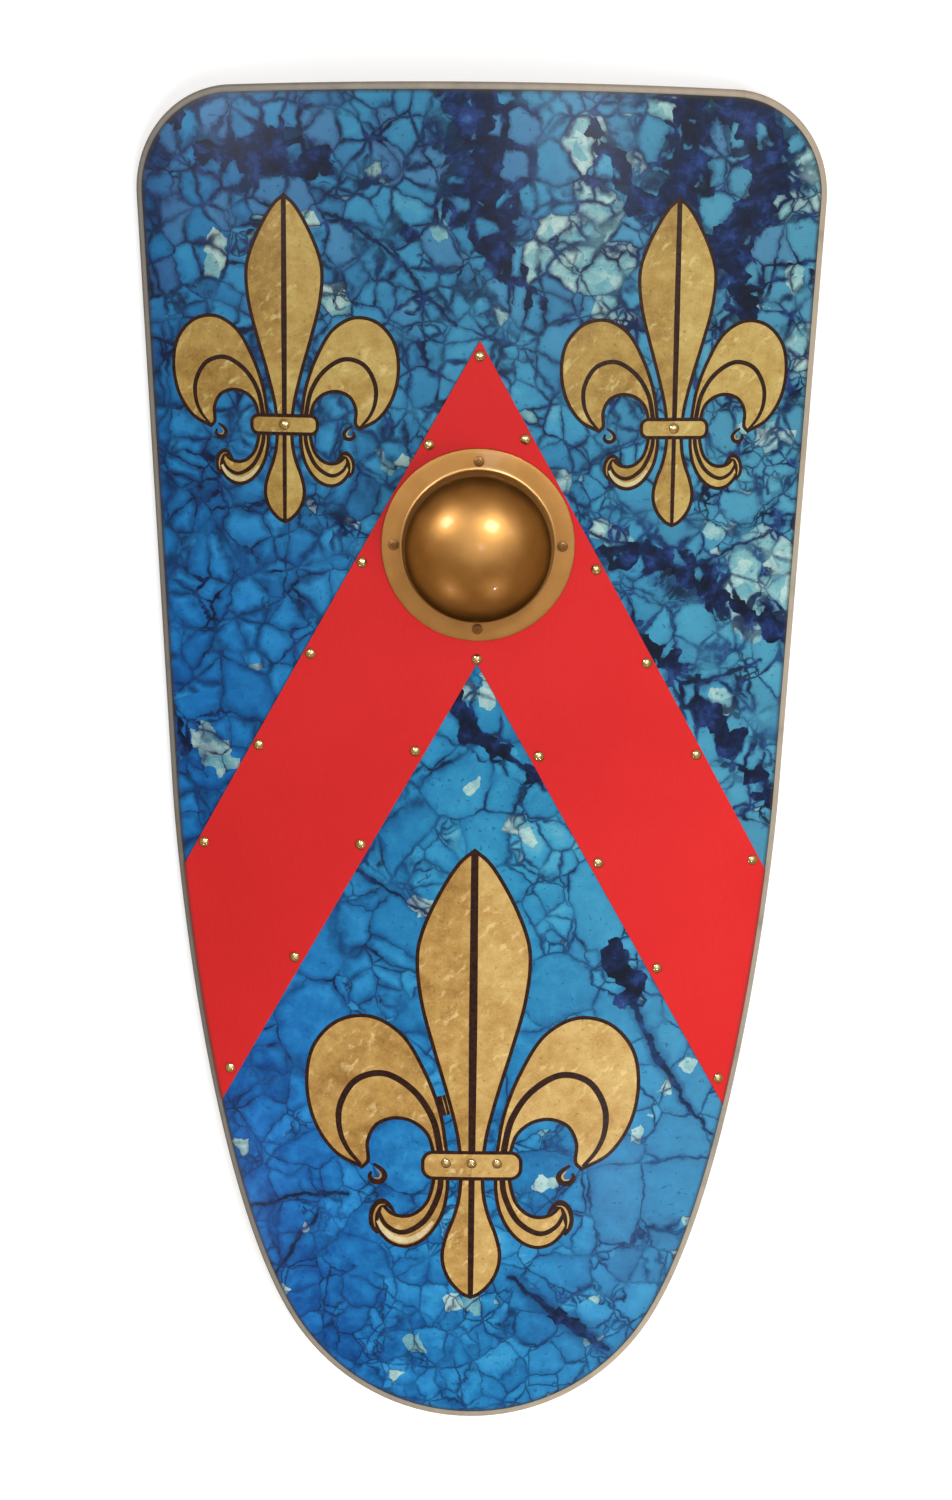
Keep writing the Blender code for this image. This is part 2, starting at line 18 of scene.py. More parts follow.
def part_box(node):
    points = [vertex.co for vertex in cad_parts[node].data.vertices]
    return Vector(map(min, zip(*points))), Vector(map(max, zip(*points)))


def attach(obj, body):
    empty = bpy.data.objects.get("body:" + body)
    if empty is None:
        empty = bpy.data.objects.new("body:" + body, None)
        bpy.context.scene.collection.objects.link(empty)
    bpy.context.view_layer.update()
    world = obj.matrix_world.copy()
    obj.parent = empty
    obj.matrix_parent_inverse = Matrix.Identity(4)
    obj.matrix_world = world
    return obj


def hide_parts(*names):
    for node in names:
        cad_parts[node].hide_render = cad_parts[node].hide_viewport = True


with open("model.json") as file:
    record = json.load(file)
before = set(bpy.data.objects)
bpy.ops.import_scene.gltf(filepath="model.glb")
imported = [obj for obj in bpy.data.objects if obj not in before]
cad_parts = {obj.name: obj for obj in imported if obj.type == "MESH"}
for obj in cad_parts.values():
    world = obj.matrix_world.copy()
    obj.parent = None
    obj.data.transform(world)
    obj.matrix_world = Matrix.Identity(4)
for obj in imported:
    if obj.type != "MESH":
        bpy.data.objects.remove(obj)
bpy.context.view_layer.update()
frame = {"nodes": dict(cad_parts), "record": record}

# The board's outline, seen flat
HEIGHT = 1.100
SHOULDER_WIDTH = 0.549
WAIST_WIDTH = 0.503
WAIST_ABOVE_TIP = 0.540
CORNER_RADIUS = 0.080
TOP_EDGE_BOW = 0.003
TIP_RADIUS = 0.180
TIP_HALF_ANGLE = radians(54)
FLANK_PULL_AT_WAIST = 0.20
FLANK_PULL_AT_TIP = 0.25
BOW_RADIUS = 1.000
TOP_Y = HEIGHT / 2
TIP_Y = -HEIGHT / 2

# Heights of the layers over the board's front, with a hair's gap between them
GAP = 0.0003
BOARD_BACK = -0.008
FACING_BACK = GAP
FACING_FRONT = FACING_BACK + 0.0008
BAND_BACK = FACING_FRONT + GAP
BAND_FRONT = BAND_BACK + 0.0010

# The edges of board, facing and band, and the rim that the facing leaves bare
BARE_RIM = 0.006
BOARD_ROUNDING = 0.003
FACING_ROUNDING = 0.0001
BAND_ROUNDING = 0.0003

# The chevron
CHEVRON_POINT_Y = TOP_Y - 0.195
CHEVRON_HALF_ANGLE = radians(29.25)
CHEVRON_BAND = 0.1244
CHEVRON_NOTCH_Y = CHEVRON_POINT_Y - CHEVRON_BAND / sin(CHEVRON_HALF_ANGLE)

# The boss and its hand hole
BOSS_Y = TOP_Y - 0.355
DOME_RADIUS = 0.0585
DOME_RISE = 0.060
DOME_NECK = 0.018
DOME_FILLET = 0.003
FLANGE_RADIUS = 0.0763
BOSS_WALL = 0.0012
FLANGE_FRONT = BAND_FRONT + GAP + BOSS_WALL
FLANGE_EASE = 0.0005
HAND_HOLE_RADIUS = 0.052

# The grip behind the hand hole
GRIP_LENGTH = 0.250
GRIP_FOOT_LENGTH = 0.050
GRIP_FOOT_WIDTH = 0.036
GRIP_FOOT_THICKNESS = 0.010
GRIP_HANDLE_WIDTH = 0.027
GRIP_HANDLE_THICKNESS = 0.020
GRIP_ROUNDING = 0.0035
GRIP_FRONT = BOARD_BACK - GAP
GRIP_SCREW_REACH = GRIP_LENGTH / 2 - 0.020

# Nails and screws: how much board covers their points, their heads, and the crossed slots of the
# screws, whose floors are shorter and narrower by two shares. A head's rim tucks in under its
# crown by shares of its radius and rise.
NAIL_COVER = 0.0026
NAIL_HEAD = {"radius": 0.0040, "rise": 0.0024, "shank": 0.0009, "edge": 0.2}
BOSS_SCREW_HEAD = {"radius": 0.0042, "rise": 0.0018, "shank": 0.0015, "edge": 0.45}
BOSS_SCREW_SLOT = {"reach": 0.0027, "width": 0.0012, "depth": 0.0011, "top": 0.0019}
GRIP_SCREW_HEAD = {"radius": 0.0040, "rise": 0.0020, "shank": 0.0016, "edge": 0.45}
GRIP_SCREW_SLOT = {"reach": 0.0022, "width": 0.0008, "depth": 0.0009, "top": 0.0021}
SLOT_FLOOR_REACH = 0.45
SLOT_FLOOR_WIDTH = 0.70
HEAD_TUCK = ((0.985, 0.05), (0.95, 0.0))

# The fleurs: where their clasps lie and how large they are beside the lower one
LOWER_CLASP = Vector((0.0, -0.3235))
UPPER_CLASPS = (Vector((-0.1537, 0.2873)), Vector((0.1537, 0.2873)))
UPPER_FLEUR_SIZE = 0.655

# The dark edge of the print and the cloth beside the bare rim
RIM_SHADE_WIDTH = BARE_RIM + 0.0035
RIM_SHADE = (0.035, 0.034, 0.028)

# The sheen of the printed facing, and the spacing of the cloth's threads and the board's plies
PRINT_SHEEN = {"Roughness": 0.36, "Specular_IOR_Level": 0.10, "Coat_Weight": 0.04,
               "Coat_Roughness": 0.22}
THREAD_PITCH = 0.0011
PLY_PITCH = 0.0016

# The photograph's view: its lens in pixels, how far it is from square over the board, how much
# it leans, and its distance and the height along the board that it looks at
FOCAL_PIXELS = 2600
PHOTO_HEIGHT_PIXELS = 1500
VIEW_PITCH = radians(12.0)
VIEW_LEAN = radians(0.59)
VIEW_REACH = 2.088
VIEW_Y = 0.0295

# The studio: its floor, its bright ceiling's middle, how much it is narrowed each way, where it
# starts and ends to darken, its colour and the walls', and the lamps' colours
FLOOR_SIZE = 300.0
SKY_MIDDLE = (0.05, 0.24, 0.0)
SKY_NARROWING = (1.10, 1.30, 0.0)
SKY_EASING = (0.35, 1.00)
SKY_BRIGHT = (1.15, 1.15, 1.13)
SKY_DARK = (0.42, 0.28, 0.15)
LAMP_COLOUR = (0.98, 1.0, 1.10)
FILL_COLOUR = (0.95, 0.98, 1.0)

# Each lamp's name, direction from the boss, distance, width and power: those that the boss
# mirrors, and the one that lights the face
LAMPS = (
    ("left_lamp", (-0.56, 0.465, 0.686), 0.90, 0.20, 2.6),
    ("right_lamp", (0.24, 0.41, 0.88), 0.95, 0.20, 3.4),
    ("middle_lamp", (0.05, 0.02, 0.98), 0.95, 0.10, 0.3),
    ("side_glint", (0.59, 0.28, 0.76), 1.2, 0.03, 0.6),
    ("low_left_glint", (-0.44, -0.73, 0.52), 1.2, 0.03, 0.7),
    ("low_right_glint", (0.29, -0.71, 0.645), 1.2, 0.03, 0.7),
)
FILL_LAMP = ("fill", (0.50, -0.40, 0.76), 2.8, 1.8, 60.0)

# How finely the shapes are divided, with the flange's rings as their distances in from its edge,
# from what angle a crease shows as an edge, how near each other two points of a drawing are one,
# and how many times its distance a corner may go where an outline is moved
STRIP = 0.008
CURVE_STEP = 0.0022
ARC_STEP = radians(3)
TOP_STEPS = 24
SIDE_STEPS = 12
FLANK_STEPS = 40
GRIP_STEPS = 48
DOME_STEPS = 48
FILLET_STEPS = 8
LINING_STEPS = 24
LINING_FILLET_STEPS = 6
FLANGE_RINGS = (0.013, 0.010, 0.007, 0.004)
BOSS_SIDES = 128
FASTENER_SIDES = 40
HEAD_STEPS = 10
PLATE_CREASE = radians(50)
BOSS_CREASE = radians(40)
NAIL_CREASE = radians(45)
SCREW_CREASE = radians(35)
WELD = 1e-7
LONGEST_MITRE = 2.0


def bowed(u, y, w):
    """Where a point drawn on the flat comes to lie on the bowed board."""
    angle = u / BOW_RADIUS
    reach = BOW_RADIUS + w
    return Vector((reach * sin(angle), y, reach * cos(angle) - BOW_RADIUS))


def stand_on_board(place, w):
    """The placing of a piece square to the bowed board, its own +Z pointing out of it."""
    turn = Matrix.Rotation(place.x / BOW_RADIUS, 4, "Y")
    return Matrix.Translation(bowed(place.x, place.y, w)) @ turn


# Flat outlines

def arc(centre, radius, start, end):
    """Points along an arc, both ends included."""
    count = max(2, ceil(abs(end - start) / ARC_STEP))
    angles = [start + (end - start) * step / count for step in range(count + 1)]
    return [centre + radius * Vector((cos(angle), sin(angle))) for angle in angles]


def bezier(start, start_pull, end_pull, end, count):
    """Points along a curve from start, which is left out, to end, drawn by its two pulls."""
    points = []
    for step in range(1, count + 1):
        t = step / count
        s = 1.0 - t
        near = start * s ** 3 + start_pull * 3 * s * s * t
        points.append(near + end_pull * 3 * s * t * t + end * t ** 3)
    return points


def half_outline():
    """The right half of the board's outline, from the middle of the top edge to the tip."""
    centre = Vector((SHOULDER_WIDTH / 2 - CORNER_RADIUS, TOP_Y - TOP_EDGE_BOW - CORNER_RADIUS))
    waist = Vector((WAIST_WIDTH / 2, TIP_Y + WAIST_ABOVE_TIP))
    away = waist - centre
    leave = atan2(away.y, away.x) + pi / 2 - asin(CORNER_RADIUS / away.length)
    shares = [step / TOP_STEPS for step in range(TOP_STEPS)]
    points = [Vector((centre.x * s, TOP_Y - TOP_EDGE_BOW * s * s)) for s in shares]
    points += arc(centre, CORNER_RADIUS, pi / 2, leave)
    side_top = points[-1]
    points += [side_top.lerp(waist, step / SIDE_STEPS) for step in range(1, SIDE_STEPS + 1)]
    tip_centre = Vector((0.0, TIP_Y + TIP_RADIUS))
    turn = TIP_HALF_ANGLE
    tip_start = tip_centre + TIP_RADIUS * Vector((sin(turn), -cos(turn)))
    reach = (tip_start - waist).length
    start_pull = waist + (waist - side_top).normalized() * FLANK_PULL_AT_WAIST * reach
    end_pull = tip_start + Vector((cos(turn), sin(turn))) * FLANK_PULL_AT_TIP * reach
    points += bezier(waist, start_pull, end_pull, tip_start, FLANK_STEPS)
    points += arc(tip_centre, TIP_RADIUS, turn - pi / 2, -pi / 2)[1:]
    return points


def mirrored(half):
    """A half outline that starts and ends on the middle line, closed by its mirror image."""
    return half + [Vector((-point.x, point.y)) for point in half[-2:0:-1]]


def moved_out(points, distance, closed=True):
    """The points of a clockwise outline, moved to its outer side (a stroke's: to its left).

    The distance is one number, or a list with one for each point.
    """
    count = len(points)
    moved = []
    for index, point in enumerate(points):
        before = points[index - 1] if closed or index else point
        after = points[(index + 1) % count] if closed or index < count - 1 else point
        first = (point - before).normalized()
        last = (after - point).normalized()
        along = (first + last).normalized()
        mitre = max(along.dot(last if last.length else first), 1.0 / LONGEST_MITRE)
        far = distance[index] if isinstance(distance, list) else distance
        moved.append(point + Vector((-along.y, along.x)) * (far / mitre))
    return moved


def board_outline(inset):
    """The whole board's outline, clockwise, moved in by inset."""
    return moved_out(mirrored(half_outline()), -inset)


def smooth_line(points, step=CURVE_STEP):
    """A smooth curve through a few chosen points."""
    ends = [2 * points[0] - points[1], *points, 2 * points[-1] - points[-2]]
    line = [points[0]]
    for a, b, c, d in zip(ends, ends[1:], ends[2:], ends[3:]):
        span = (c - b).length
        first = sqrt((b - a).length)
        middle = sqrt(span)
        last = sqrt((d - c).length)
        slope_b = (b - a) / first - (c - a) / (first + middle) + (c - b) / middle
        slope_c = (c - b) / middle - (d - b) / (middle + last) + (d - c) / last
        pull_b = b + slope_b * middle / 3
        pull_c = c - slope_c * middle / 3
        line += bezier(b, pull_b, pull_c, c, max(2, ceil(span / step)))
    return line


def columns(outline):
    """An outline's points as an array of two columns."""
    return np.array([point.to_tuple() for point in outline])


def inside(points, outline):
    """For each row of an array of points, whether it lies inside a closed outline."""
    found = np.zeros(len(points), bool)
    x, y = points[:, 0], points[:, 1]
    polygon = columns(outline)
    for (ax, ay), (bx, by) in zip(polygon, np.roll(polygon, -1, axis=0)):
        if ay != by:
            crosses = (ay > y) != (by > y)
            found ^= crosses & (x < (bx - ax) * (y - ay) / (by - ay) + ax)
    return found


# A bowed plate from a flat drawing

def triangles(outline, holes, lines):
    """Flat triangles, face up, that keep to the outline, its holes, the lines and strips along y."""
    points = []
    edges = []
    for loop in [outline, *holes, *lines]:
        start = len(points)
        points += [point.to_tuple() for point in loop]
        edges += [(start + i, start + (i + 1) % len(loop)) for i in range(len(loop))]
    widest = max(abs(point.x) for point in outline)
    low = min(point.y for point in outline) - STRIP
    high = max(point.y for point in outline) + STRIP
    for strip in range(-int(widest / STRIP), int(widest / STRIP) + 1):
        edges.append((len(points), len(points) + 1))
        points += [(strip * STRIP, low), (strip * STRIP, high)]
    places, _, faces, *_ = delaunay_2d_cdt([Vector(p) for p in points], edges, [], 0, WELD)
    places = columns(places)
    faces = np.array([face for face in faces if len(face) == 3])
    middles = places[faces].mean(axis=1)
    kept = inside(middles, outline)
    for hole in holes:
        kept &= ~inside(middles, hole)
    faces = faces[kept]
    a, b, c = (places[faces[:, i]] for i in range(3))
    ab, ac = b - a, c - a
    face_down = ab[:, 0] * ac[:, 1] - ab[:, 1] * ac[:, 0] < 0.0
    faces[face_down] = faces[face_down][:, ::-1]
    return places, faces


def rim_loops(faces):
    """The edge loops of flat triangles, each walked with the faces on its left."""
    sides = dict.fromkeys((face[i], face[(i + 1) % 3]) for face in faces for i in range(3))
    follows = {a: b for a, b in sides if (b, a) not in sides}
    loops = []
    while follows:
        start = next(iter(follows))
        loop = [start]
        spot = follows.pop(start)
        while spot != start:
            loop.append(spot)
            spot = follows.pop(spot)
        loops.append(loop)
    return loops


def plate(name, outline, holes, lines, edge, region=None, bend=bowed):
    """A closed plate from a flat drawing, as bend shapes it.

    edge runs down its side: how far out and at what height. region gives the number of each
    front triangle's material from its middle on the flat.
    """
    places, faces = triangles(outline, holes, lines)
    count = len(places)
    front_w = edge[0][1]
    back_w = edge[-1][1]
    points = [bend(u, y, w) for w in (front_w, back_w) for u, y in places]
    shapes = faces.tolist() + (faces[:, ::-1] + count).tolist()
    flat_count = len(shapes)
    for loop in rim_loops(faces.tolist()):
        around = [Vector(places[index]) for index in loop]
        rings = [loop]
        for out, w in edge[1:-1]:
            ring = moved_out(around, -out)
            rings.append(list(range(len(points), len(points) + len(ring))))
            points += [bend(spot.x, spot.y, w) for spot in ring]
        rings.append([index + count for index in loop])
        for upper, lower in zip(rings, rings[1:]):
            for i in range(len(loop)):
                j = (i + 1) % len(loop)
                shapes.append((upper[i], lower[i], lower[j], upper[j]))
    mesh = bpy.data.meshes.new(name)
    mesh.from_pydata(points, [], shapes)
    if region:
        marks = region(places[faces].mean(axis=1))
        for polygon, mark in zip(mesh.polygons, marks):
            polygon.material_index = int(mark)
    drop_loose_points(mesh)
    mesh.shade_smooth()
    mesh.set_sharp_from_angle(angle=PLATE_CREASE)
    if bend is bowed:
        shade_plate(mesh, flat_count)
    return lay_down(name, mesh)


def drop_loose_points(mesh):
    """Removes the points of the strips that reach past the outline."""
    shape = bmesh.new()
    shape.from_mesh(mesh)
    loose = [vertex for vertex in shape.verts if not vertex.link_faces]
    bmesh.ops.delete(shape, geom=loose, context="VERTS")
    shape.to_mesh(mesh)
    shape.free()


def shade_plate(mesh, flat_count):
    """Shades front and back as the true cylinder. A zero normal leaves a side as it is."""
    normals = []
    for number, polygon in enumerate(mesh.polygons):
        side = 1.0 if number < flat_count // 2 else -1.0
        if number >= flat_count:
            side = 0.0
        for index in polygon.vertices:
            spot = mesh.vertices[index].co
            angle = atan2(spot.x, spot.z + BOW_RADIUS)
            normals.append(Vector((sin(angle), 0.0, cos(angle))) * side)
    mesh.normals_split_custom_set(normals)


def rest_placing():
    """The shield's own frame as it lies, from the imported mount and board."""
    mount = next(m for m in frame["record"]["mounts"] if m["name"] == "grip_back")
    turn = Matrix.Rotation(asin(mount["axis"][1]), 4, "X")
    rim = [point for w in (0.0, BOARD_BACK) for point in
           (turn @ bowed(p.x, p.y, w) for p in board_outline(BOARD_ROUNDING))]
    low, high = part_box("board")
    middle = (low.y + high.y) / 2 - (min(p.y for p in rim) + max(p.y for p in rim)) / 2
    return Matrix.Translation((0.0, middle, low.z - min(p.z for p in rim))) @ turn


REST = rest_placing()


def lay_down(name, mesh):
    """An object of a mesh that was drawn in the shield's own frame."""
    mesh.transform(REST)
    piece = bpy.data.objects.new(name, mesh)
    bpy.context.scene.collection.objects.link(piece)
    return piece


def dress(piece, node, slot, *materials):
    """Lets a piece stand for its node, with its materials."""
    for material in materials:
        piece.data.materials.append(material)
    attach(piece, "root")
    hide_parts(node)


# Shader arithmetic

class Signal:
    """A socket in a finish's node tree. Arithmetic on it adds the Math nodes that it needs."""

    def __init__(self, finish, socket):
        self.finish = finish
        self.socket = socket

    def math(self, operation, *values):
        return self.finish.add("Math", {"operation": operation}, dict(enumerate(values)))

    def __add__(self, other):
        return self.math("ADD", self, other)

    def __sub__(self, other):
        return self.math("SUBTRACT", self, other)

    def __rsub__(self, other):
        return self.math("SUBTRACT", other, self)

    def __mul__(self, other):
        return self.math("MULTIPLY", self, other)

    def __truediv__(self, other):
        return self.math("DIVIDE", self, other)

    __radd__ = __add__
    __rmul__ = __mul__

    def least(self, other):
        return self.math("MINIMUM", self, other)

    def most(self, other):
        return self.math("MAXIMUM", self, other)

    def size(self):
        return self.math("ABSOLUTE", self)

    def wave(self):
        return self.math("SINE", self)

    def over(self, other):
        """1 where this is greater than the other value and 0 elsewhere."""
        return self.math("GREATER_THAN", self, other)

    def rise(self, low, high):
        """0 below low, 1 above high, and a smooth rise between."""
        inputs = {"Value": self, "From Min": low, "From Max": high}
        return self.finish.add("MapRange", {"interpolation_type": "SMOOTHSTEP"}, inputs)

    def band(self, low, full_from, full_to, high):
        """1 from full_from to full_to, easing to 0 at low and at high."""
        return self.rise(low, full_from) * (1.0 - self.rise(full_to, high))

    def tinted(self, colour):
        """This colour times another."""
        return self.finish.vector("MULTIPLY", self, colour)

    def ramp(self, *stops):
        """A colour for each value, from stops of (value, colour)."""
        return self.finish.add("ValToRGB", {"stops": stops}, {"Fac": self})


class Finish:
    """One material and the node tree behind it."""

    def __init__(self, name, **plain):
        self.material = bpy.data.materials.new(name)
        self.material.use_nodes = True
        self.tree = self.material.node_tree
        self.shader = self.tree.nodes["Principled BSDF"]
        self.set(plain)

    def set(self, values):
        for name, value in values.items():
            self.put(self.shader.inputs[name.replace("_", " ")], value)

    def put(self, socket, value):
        if isinstance(value, Signal):
            self.tree.links.new(value.socket, socket)
        elif socket.type == "RGBA" and len(value) == 3:
            socket.default_value = (*value, 1.0)
        else:
            socket.default_value = value

    def add(self, kind, settings, inputs, output=0):
        """Any node: its settings first, then the values or links of its sockets."""
        node = self.tree.nodes.new("ShaderNode" + kind)
        for name, value in settings.items():
            if name == "stops":
                self.set_stops(node.color_ramp, value)
            else:
                setattr(node, name, value)
        for name, value in inputs.items():
            self.put(node.inputs[name], value)
        return Signal(self, node.outputs[output])

    def set_stops(self, ramp, stops):
        while len(ramp.elements) < len(stops):
            ramp.elements.new(1.0)
        for element, (place, colour) in zip(ramp.elements, stops):
            element.position = place
            element.color = (*colour, 1.0)

    def place(self):
        """Where on the object a point lies, in metres."""
        return self.add("TexCoord", {}, {}, "Object")

    def place_in_plan(self):
        """Where a point lies as seen from above, so that nothing streaks down the sides."""
        return self.stretched(self.place(), (1.0, 1.0, 0.0))

    def mark(self, name):
        """A number that the mesh carries."""
        return self.add("Attribute", {"attribute_name": name}, {}, "Fac")

    def axis(self, vector, name):
        return self.add("SeparateXYZ", {}, {"Vector": vector}, name)

    def vector(self, operation, a, b, output=0):
        return self.add("VectorMath", {"operation": operation}, {0: a, 1: b}, output)

    def measure(self, operation, a, b=(0.0, 0.0, 0.0)):
        """A number measured on vectors, such as a length or a distance."""
        return self.vector(operation, a, b, "Value")

    def stretched(self, vector, factors):
        return self.vector("MULTIPLY", vector, factors)

    def noise(self, vector, scale, detail=2.0, roughness=0.5, output=0):
        inputs = {"Vector": vector, "Scale": scale, "Detail": detail, "Roughness": roughness}
        return self.add("TexNoise", {}, inputs, output)

    def cells(self, vector, scale, feature, output):
        return self.add("TexVoronoi", {"feature": feature}, {"Vector": vector, "Scale": scale}, output)

    def warped(self, vector, scale, reach, detail=2.0):
        """The vector, pushed about by up to reach either way."""
        push = self.noise(vector, scale, detail, output="Color")
        centred = self.vector("SUBTRACT", push, (0.5, 0.5, 0.5))
        return self.vector("ADD", vector, self.stretched(centred, (2 * reach,) * 3))

    def mix(self, a, b, share, blend="MIX"):
        settings = {"data_type": "RGBA", "blend_type": blend, "clamp_factor": True}
        return self.add("Mix", settings, {0: share, 6: a, 7: b}, 2)

    def rim_shaded(self, colour, strength):
        """The colour, darkened beside the bare rim."""
        return self.mix(colour, RIM_SHADE, self.mark("near_rim") * strength)

    def bump(self, height, distance, strength):
        inputs = {"Height": height, "Distance": distance, "Strength": strength}
        return self.add("Bump", {}, inputs)


# Finishes

VEINS = (
    # Dark veins of the stone, each a run of (u, y, half width)
    ((-0.004, 0.560, 0.020), (0.006, 0.470, 0.022), (0.010, 0.425, 0.012), (0.045, 0.375, 0.007)),
    ((0.088, 0.510, 0.005), (0.122, 0.462, 0.009), (0.160, 0.465, 0.013), (0.162, 0.560, 0.015)),
    ((0.175, 0.555, 0.016), (0.215, 0.525, 0.017), (0.224, 0.465, 0.014), (0.180, 0.430, 0.011)),
    ((0.180, 0.430, 0.011), (0.202, 0.404, 0.012), (0.212, 0.350, 0.006)),
    ((-0.215, 0.496, 0.010), (-0.168, 0.496, 0.019), (-0.125, 0.484, 0.010)),
    ((-0.275, 0.485, 0.006), (-0.235, 0.525, 0.012)),
    ((0.098, 0.196, 0.008), (0.142, 0.186, 0.013), (0.191, 0.151, 0.010), (0.260, 0.115, 0.012)),
    ((0.125, 0.128, 0.008), (0.160, 0.098, 0.009), (0.196, 0.051, 0.012), (0.250, -0.018, 0.012)),
    ((-0.026, 0.078, 0.012), (-0.005, 0.050, 0.012), (0.022, 0.028, 0.009), (0.056, 0.000, 0.006)),
    ((0.112, -0.130, 0.012), (0.132, -0.178, 0.013)),
    ((0.066, -0.455, 0.006), (0.086, -0.470, 0.009)),
    ((-0.246, 0.050, 0.008), (-0.240, 0.030, 0.008)),
)
CRACKS = (
    # Long cracks through many stones, in the same terms
    ((-0.124, 0.456, 0.002), (-0.072, 0.422, 0.003), (-0.020, 0.366, 0.003)),
    ((-0.262, 0.350, 0.003), (-0.200, 0.336, 0.002), (-0.160, 0.318, 0.002)),
    ((0.128, -0.168, 0.006), (0.152, -0.232, 0.005), (0.200, -0.300, 0.002)),
    ((-0.110, -0.060, 0.003), (-0.034, -0.108, 0.003)),
    ((0.030, -0.424, 0.003), (0.070, -0.458, 0.008), (0.098, -0.476, 0.010), (0.120, -0.490, 0.003)),
    ((0.090, 0.210, 0.002), (0.165, 0.175, 0.003), (0.235, 0.205, 0.002)),
    ((0.105, 0.140, 0.003), (0.180, 0.080, 0.004), (0.230, 0.100, 0.002)),
    ((-0.020, 0.060, 0.004), (0.060, -0.004, 0.003)),
    ((-0.189, -0.369, 0.003), (-0.144, -0.354, 0.004), (-0.103, -0.352, 0.003)),
    ((-0.172, -0.435, 0.002), (-0.144, -0.395, 0.004), (-0.125, -0.369, 0.002)),
)
PALE_SPOTS = (
    # Where pale chips gather, each (u, y, radius)
    (-0.210, 0.415, 0.014), (-0.137, 0.447, 0.010), (-0.035, 0.445, 0.012), (-0.109, 0.395, 0.022),
    (-0.070, 0.259, 0.010), (0.139, 0.532, 0.016), (0.072, 0.492, 0.020), (0.250, 0.466, 0.032),
    (0.080, 0.428, 0.034), (0.108, 0.379, 0.014), (0.246, 0.401, 0.012), (0.218, 0.385, 0.012),
    (0.251, 0.341, 0.020), (0.235, 0.277, 0.012), (0.068, 0.249, 0.016), (0.110, 0.207, 0.014),
    (0.185, 0.204, 0.012), (0.226, 0.160, 0.034), (0.215, 0.127, 0.012), (0.196, 0.064, 0.012),
    (0.007, 0.078, 0.014), (0.001, 0.005, 0.008), (0.037, -0.038, 0.010), (-0.042, -0.098, 0.010),
    (0.136, -0.306, 0.010), (0.064, -0.337, 0.008), (0.158, -0.262, 0.013), (0.178, -0.240, 0.010),
    (0.148, -0.283, 0.010), (-0.217, 0.032, 0.015), (-0.208, 0.020, 0.013),
    (0.000, -0.452, 0.013), (-0.040, -0.478, 0.011), (-0.101, -0.492, 0.009), (-0.157, -0.439, 0.009),
)
LARGEST_SMALL_CHIP = 0.015


def near_runs(finish, here, runs):
    """1 in the middle of any vein, 0 at its half width and less beyond."""
    found = []
    stretches = [pair for run in runs for pair in zip(run, run[1:])]
    for (ax, ay, a_width), (bx, by, b_width) in stretches:
        length = hypot(bx - ax, by - ay)
        from_a = finish.vector("SUBTRACT", here, (ax, ay, 0.0))
        direction = ((bx - ax) / length, (by - ay) / length, 0.0)
        along = finish.measure("DOT_PRODUCT", from_a, direction)
        across = finish.measure("DOT_PRODUCT", from_a, (-direction[1], direction[0], 0.0))
        past = (along - length).most(0.0 - along).most(0.0)
        width = along.rise(0.0, length) * (b_width - a_width) + a_width
        found.append(1.0 - (past + across.size()) / width)
    return reduce(Signal.most, found)


def near_spots(finish, here, spots):
    """1 in the middle of any spot, 0 at its radius and less beyond."""
    return reduce(Signal.most, (1.0 - finish.measure("DISTANCE", here, (x, y, 0.0)) / radius
                                for x, y, radius in spots))


class Stones:
    """Stones of one size: how deep inside its stone a point lies, that stone's middle and tones."""

    def __init__(self, finish, place, scale):
        self.edge = finish.cells(place, scale, "DISTANCE_TO_EDGE", "Distance") / scale
        self.middle = finish.cells(place, scale, "F1", "Position")
        tones = finish.cells(place, scale, "F1", "Color")
        self.tone = finish.axis(tones, "X")
        self.break_tone = finish.axis(tones, "Y")
        self.odd_tone = finish.axis(tones, "Z")

    def picked(self, share):
        """1 on the stones that share picks and 0 on the rest."""
        return (self.break_tone + share).over(1.0)


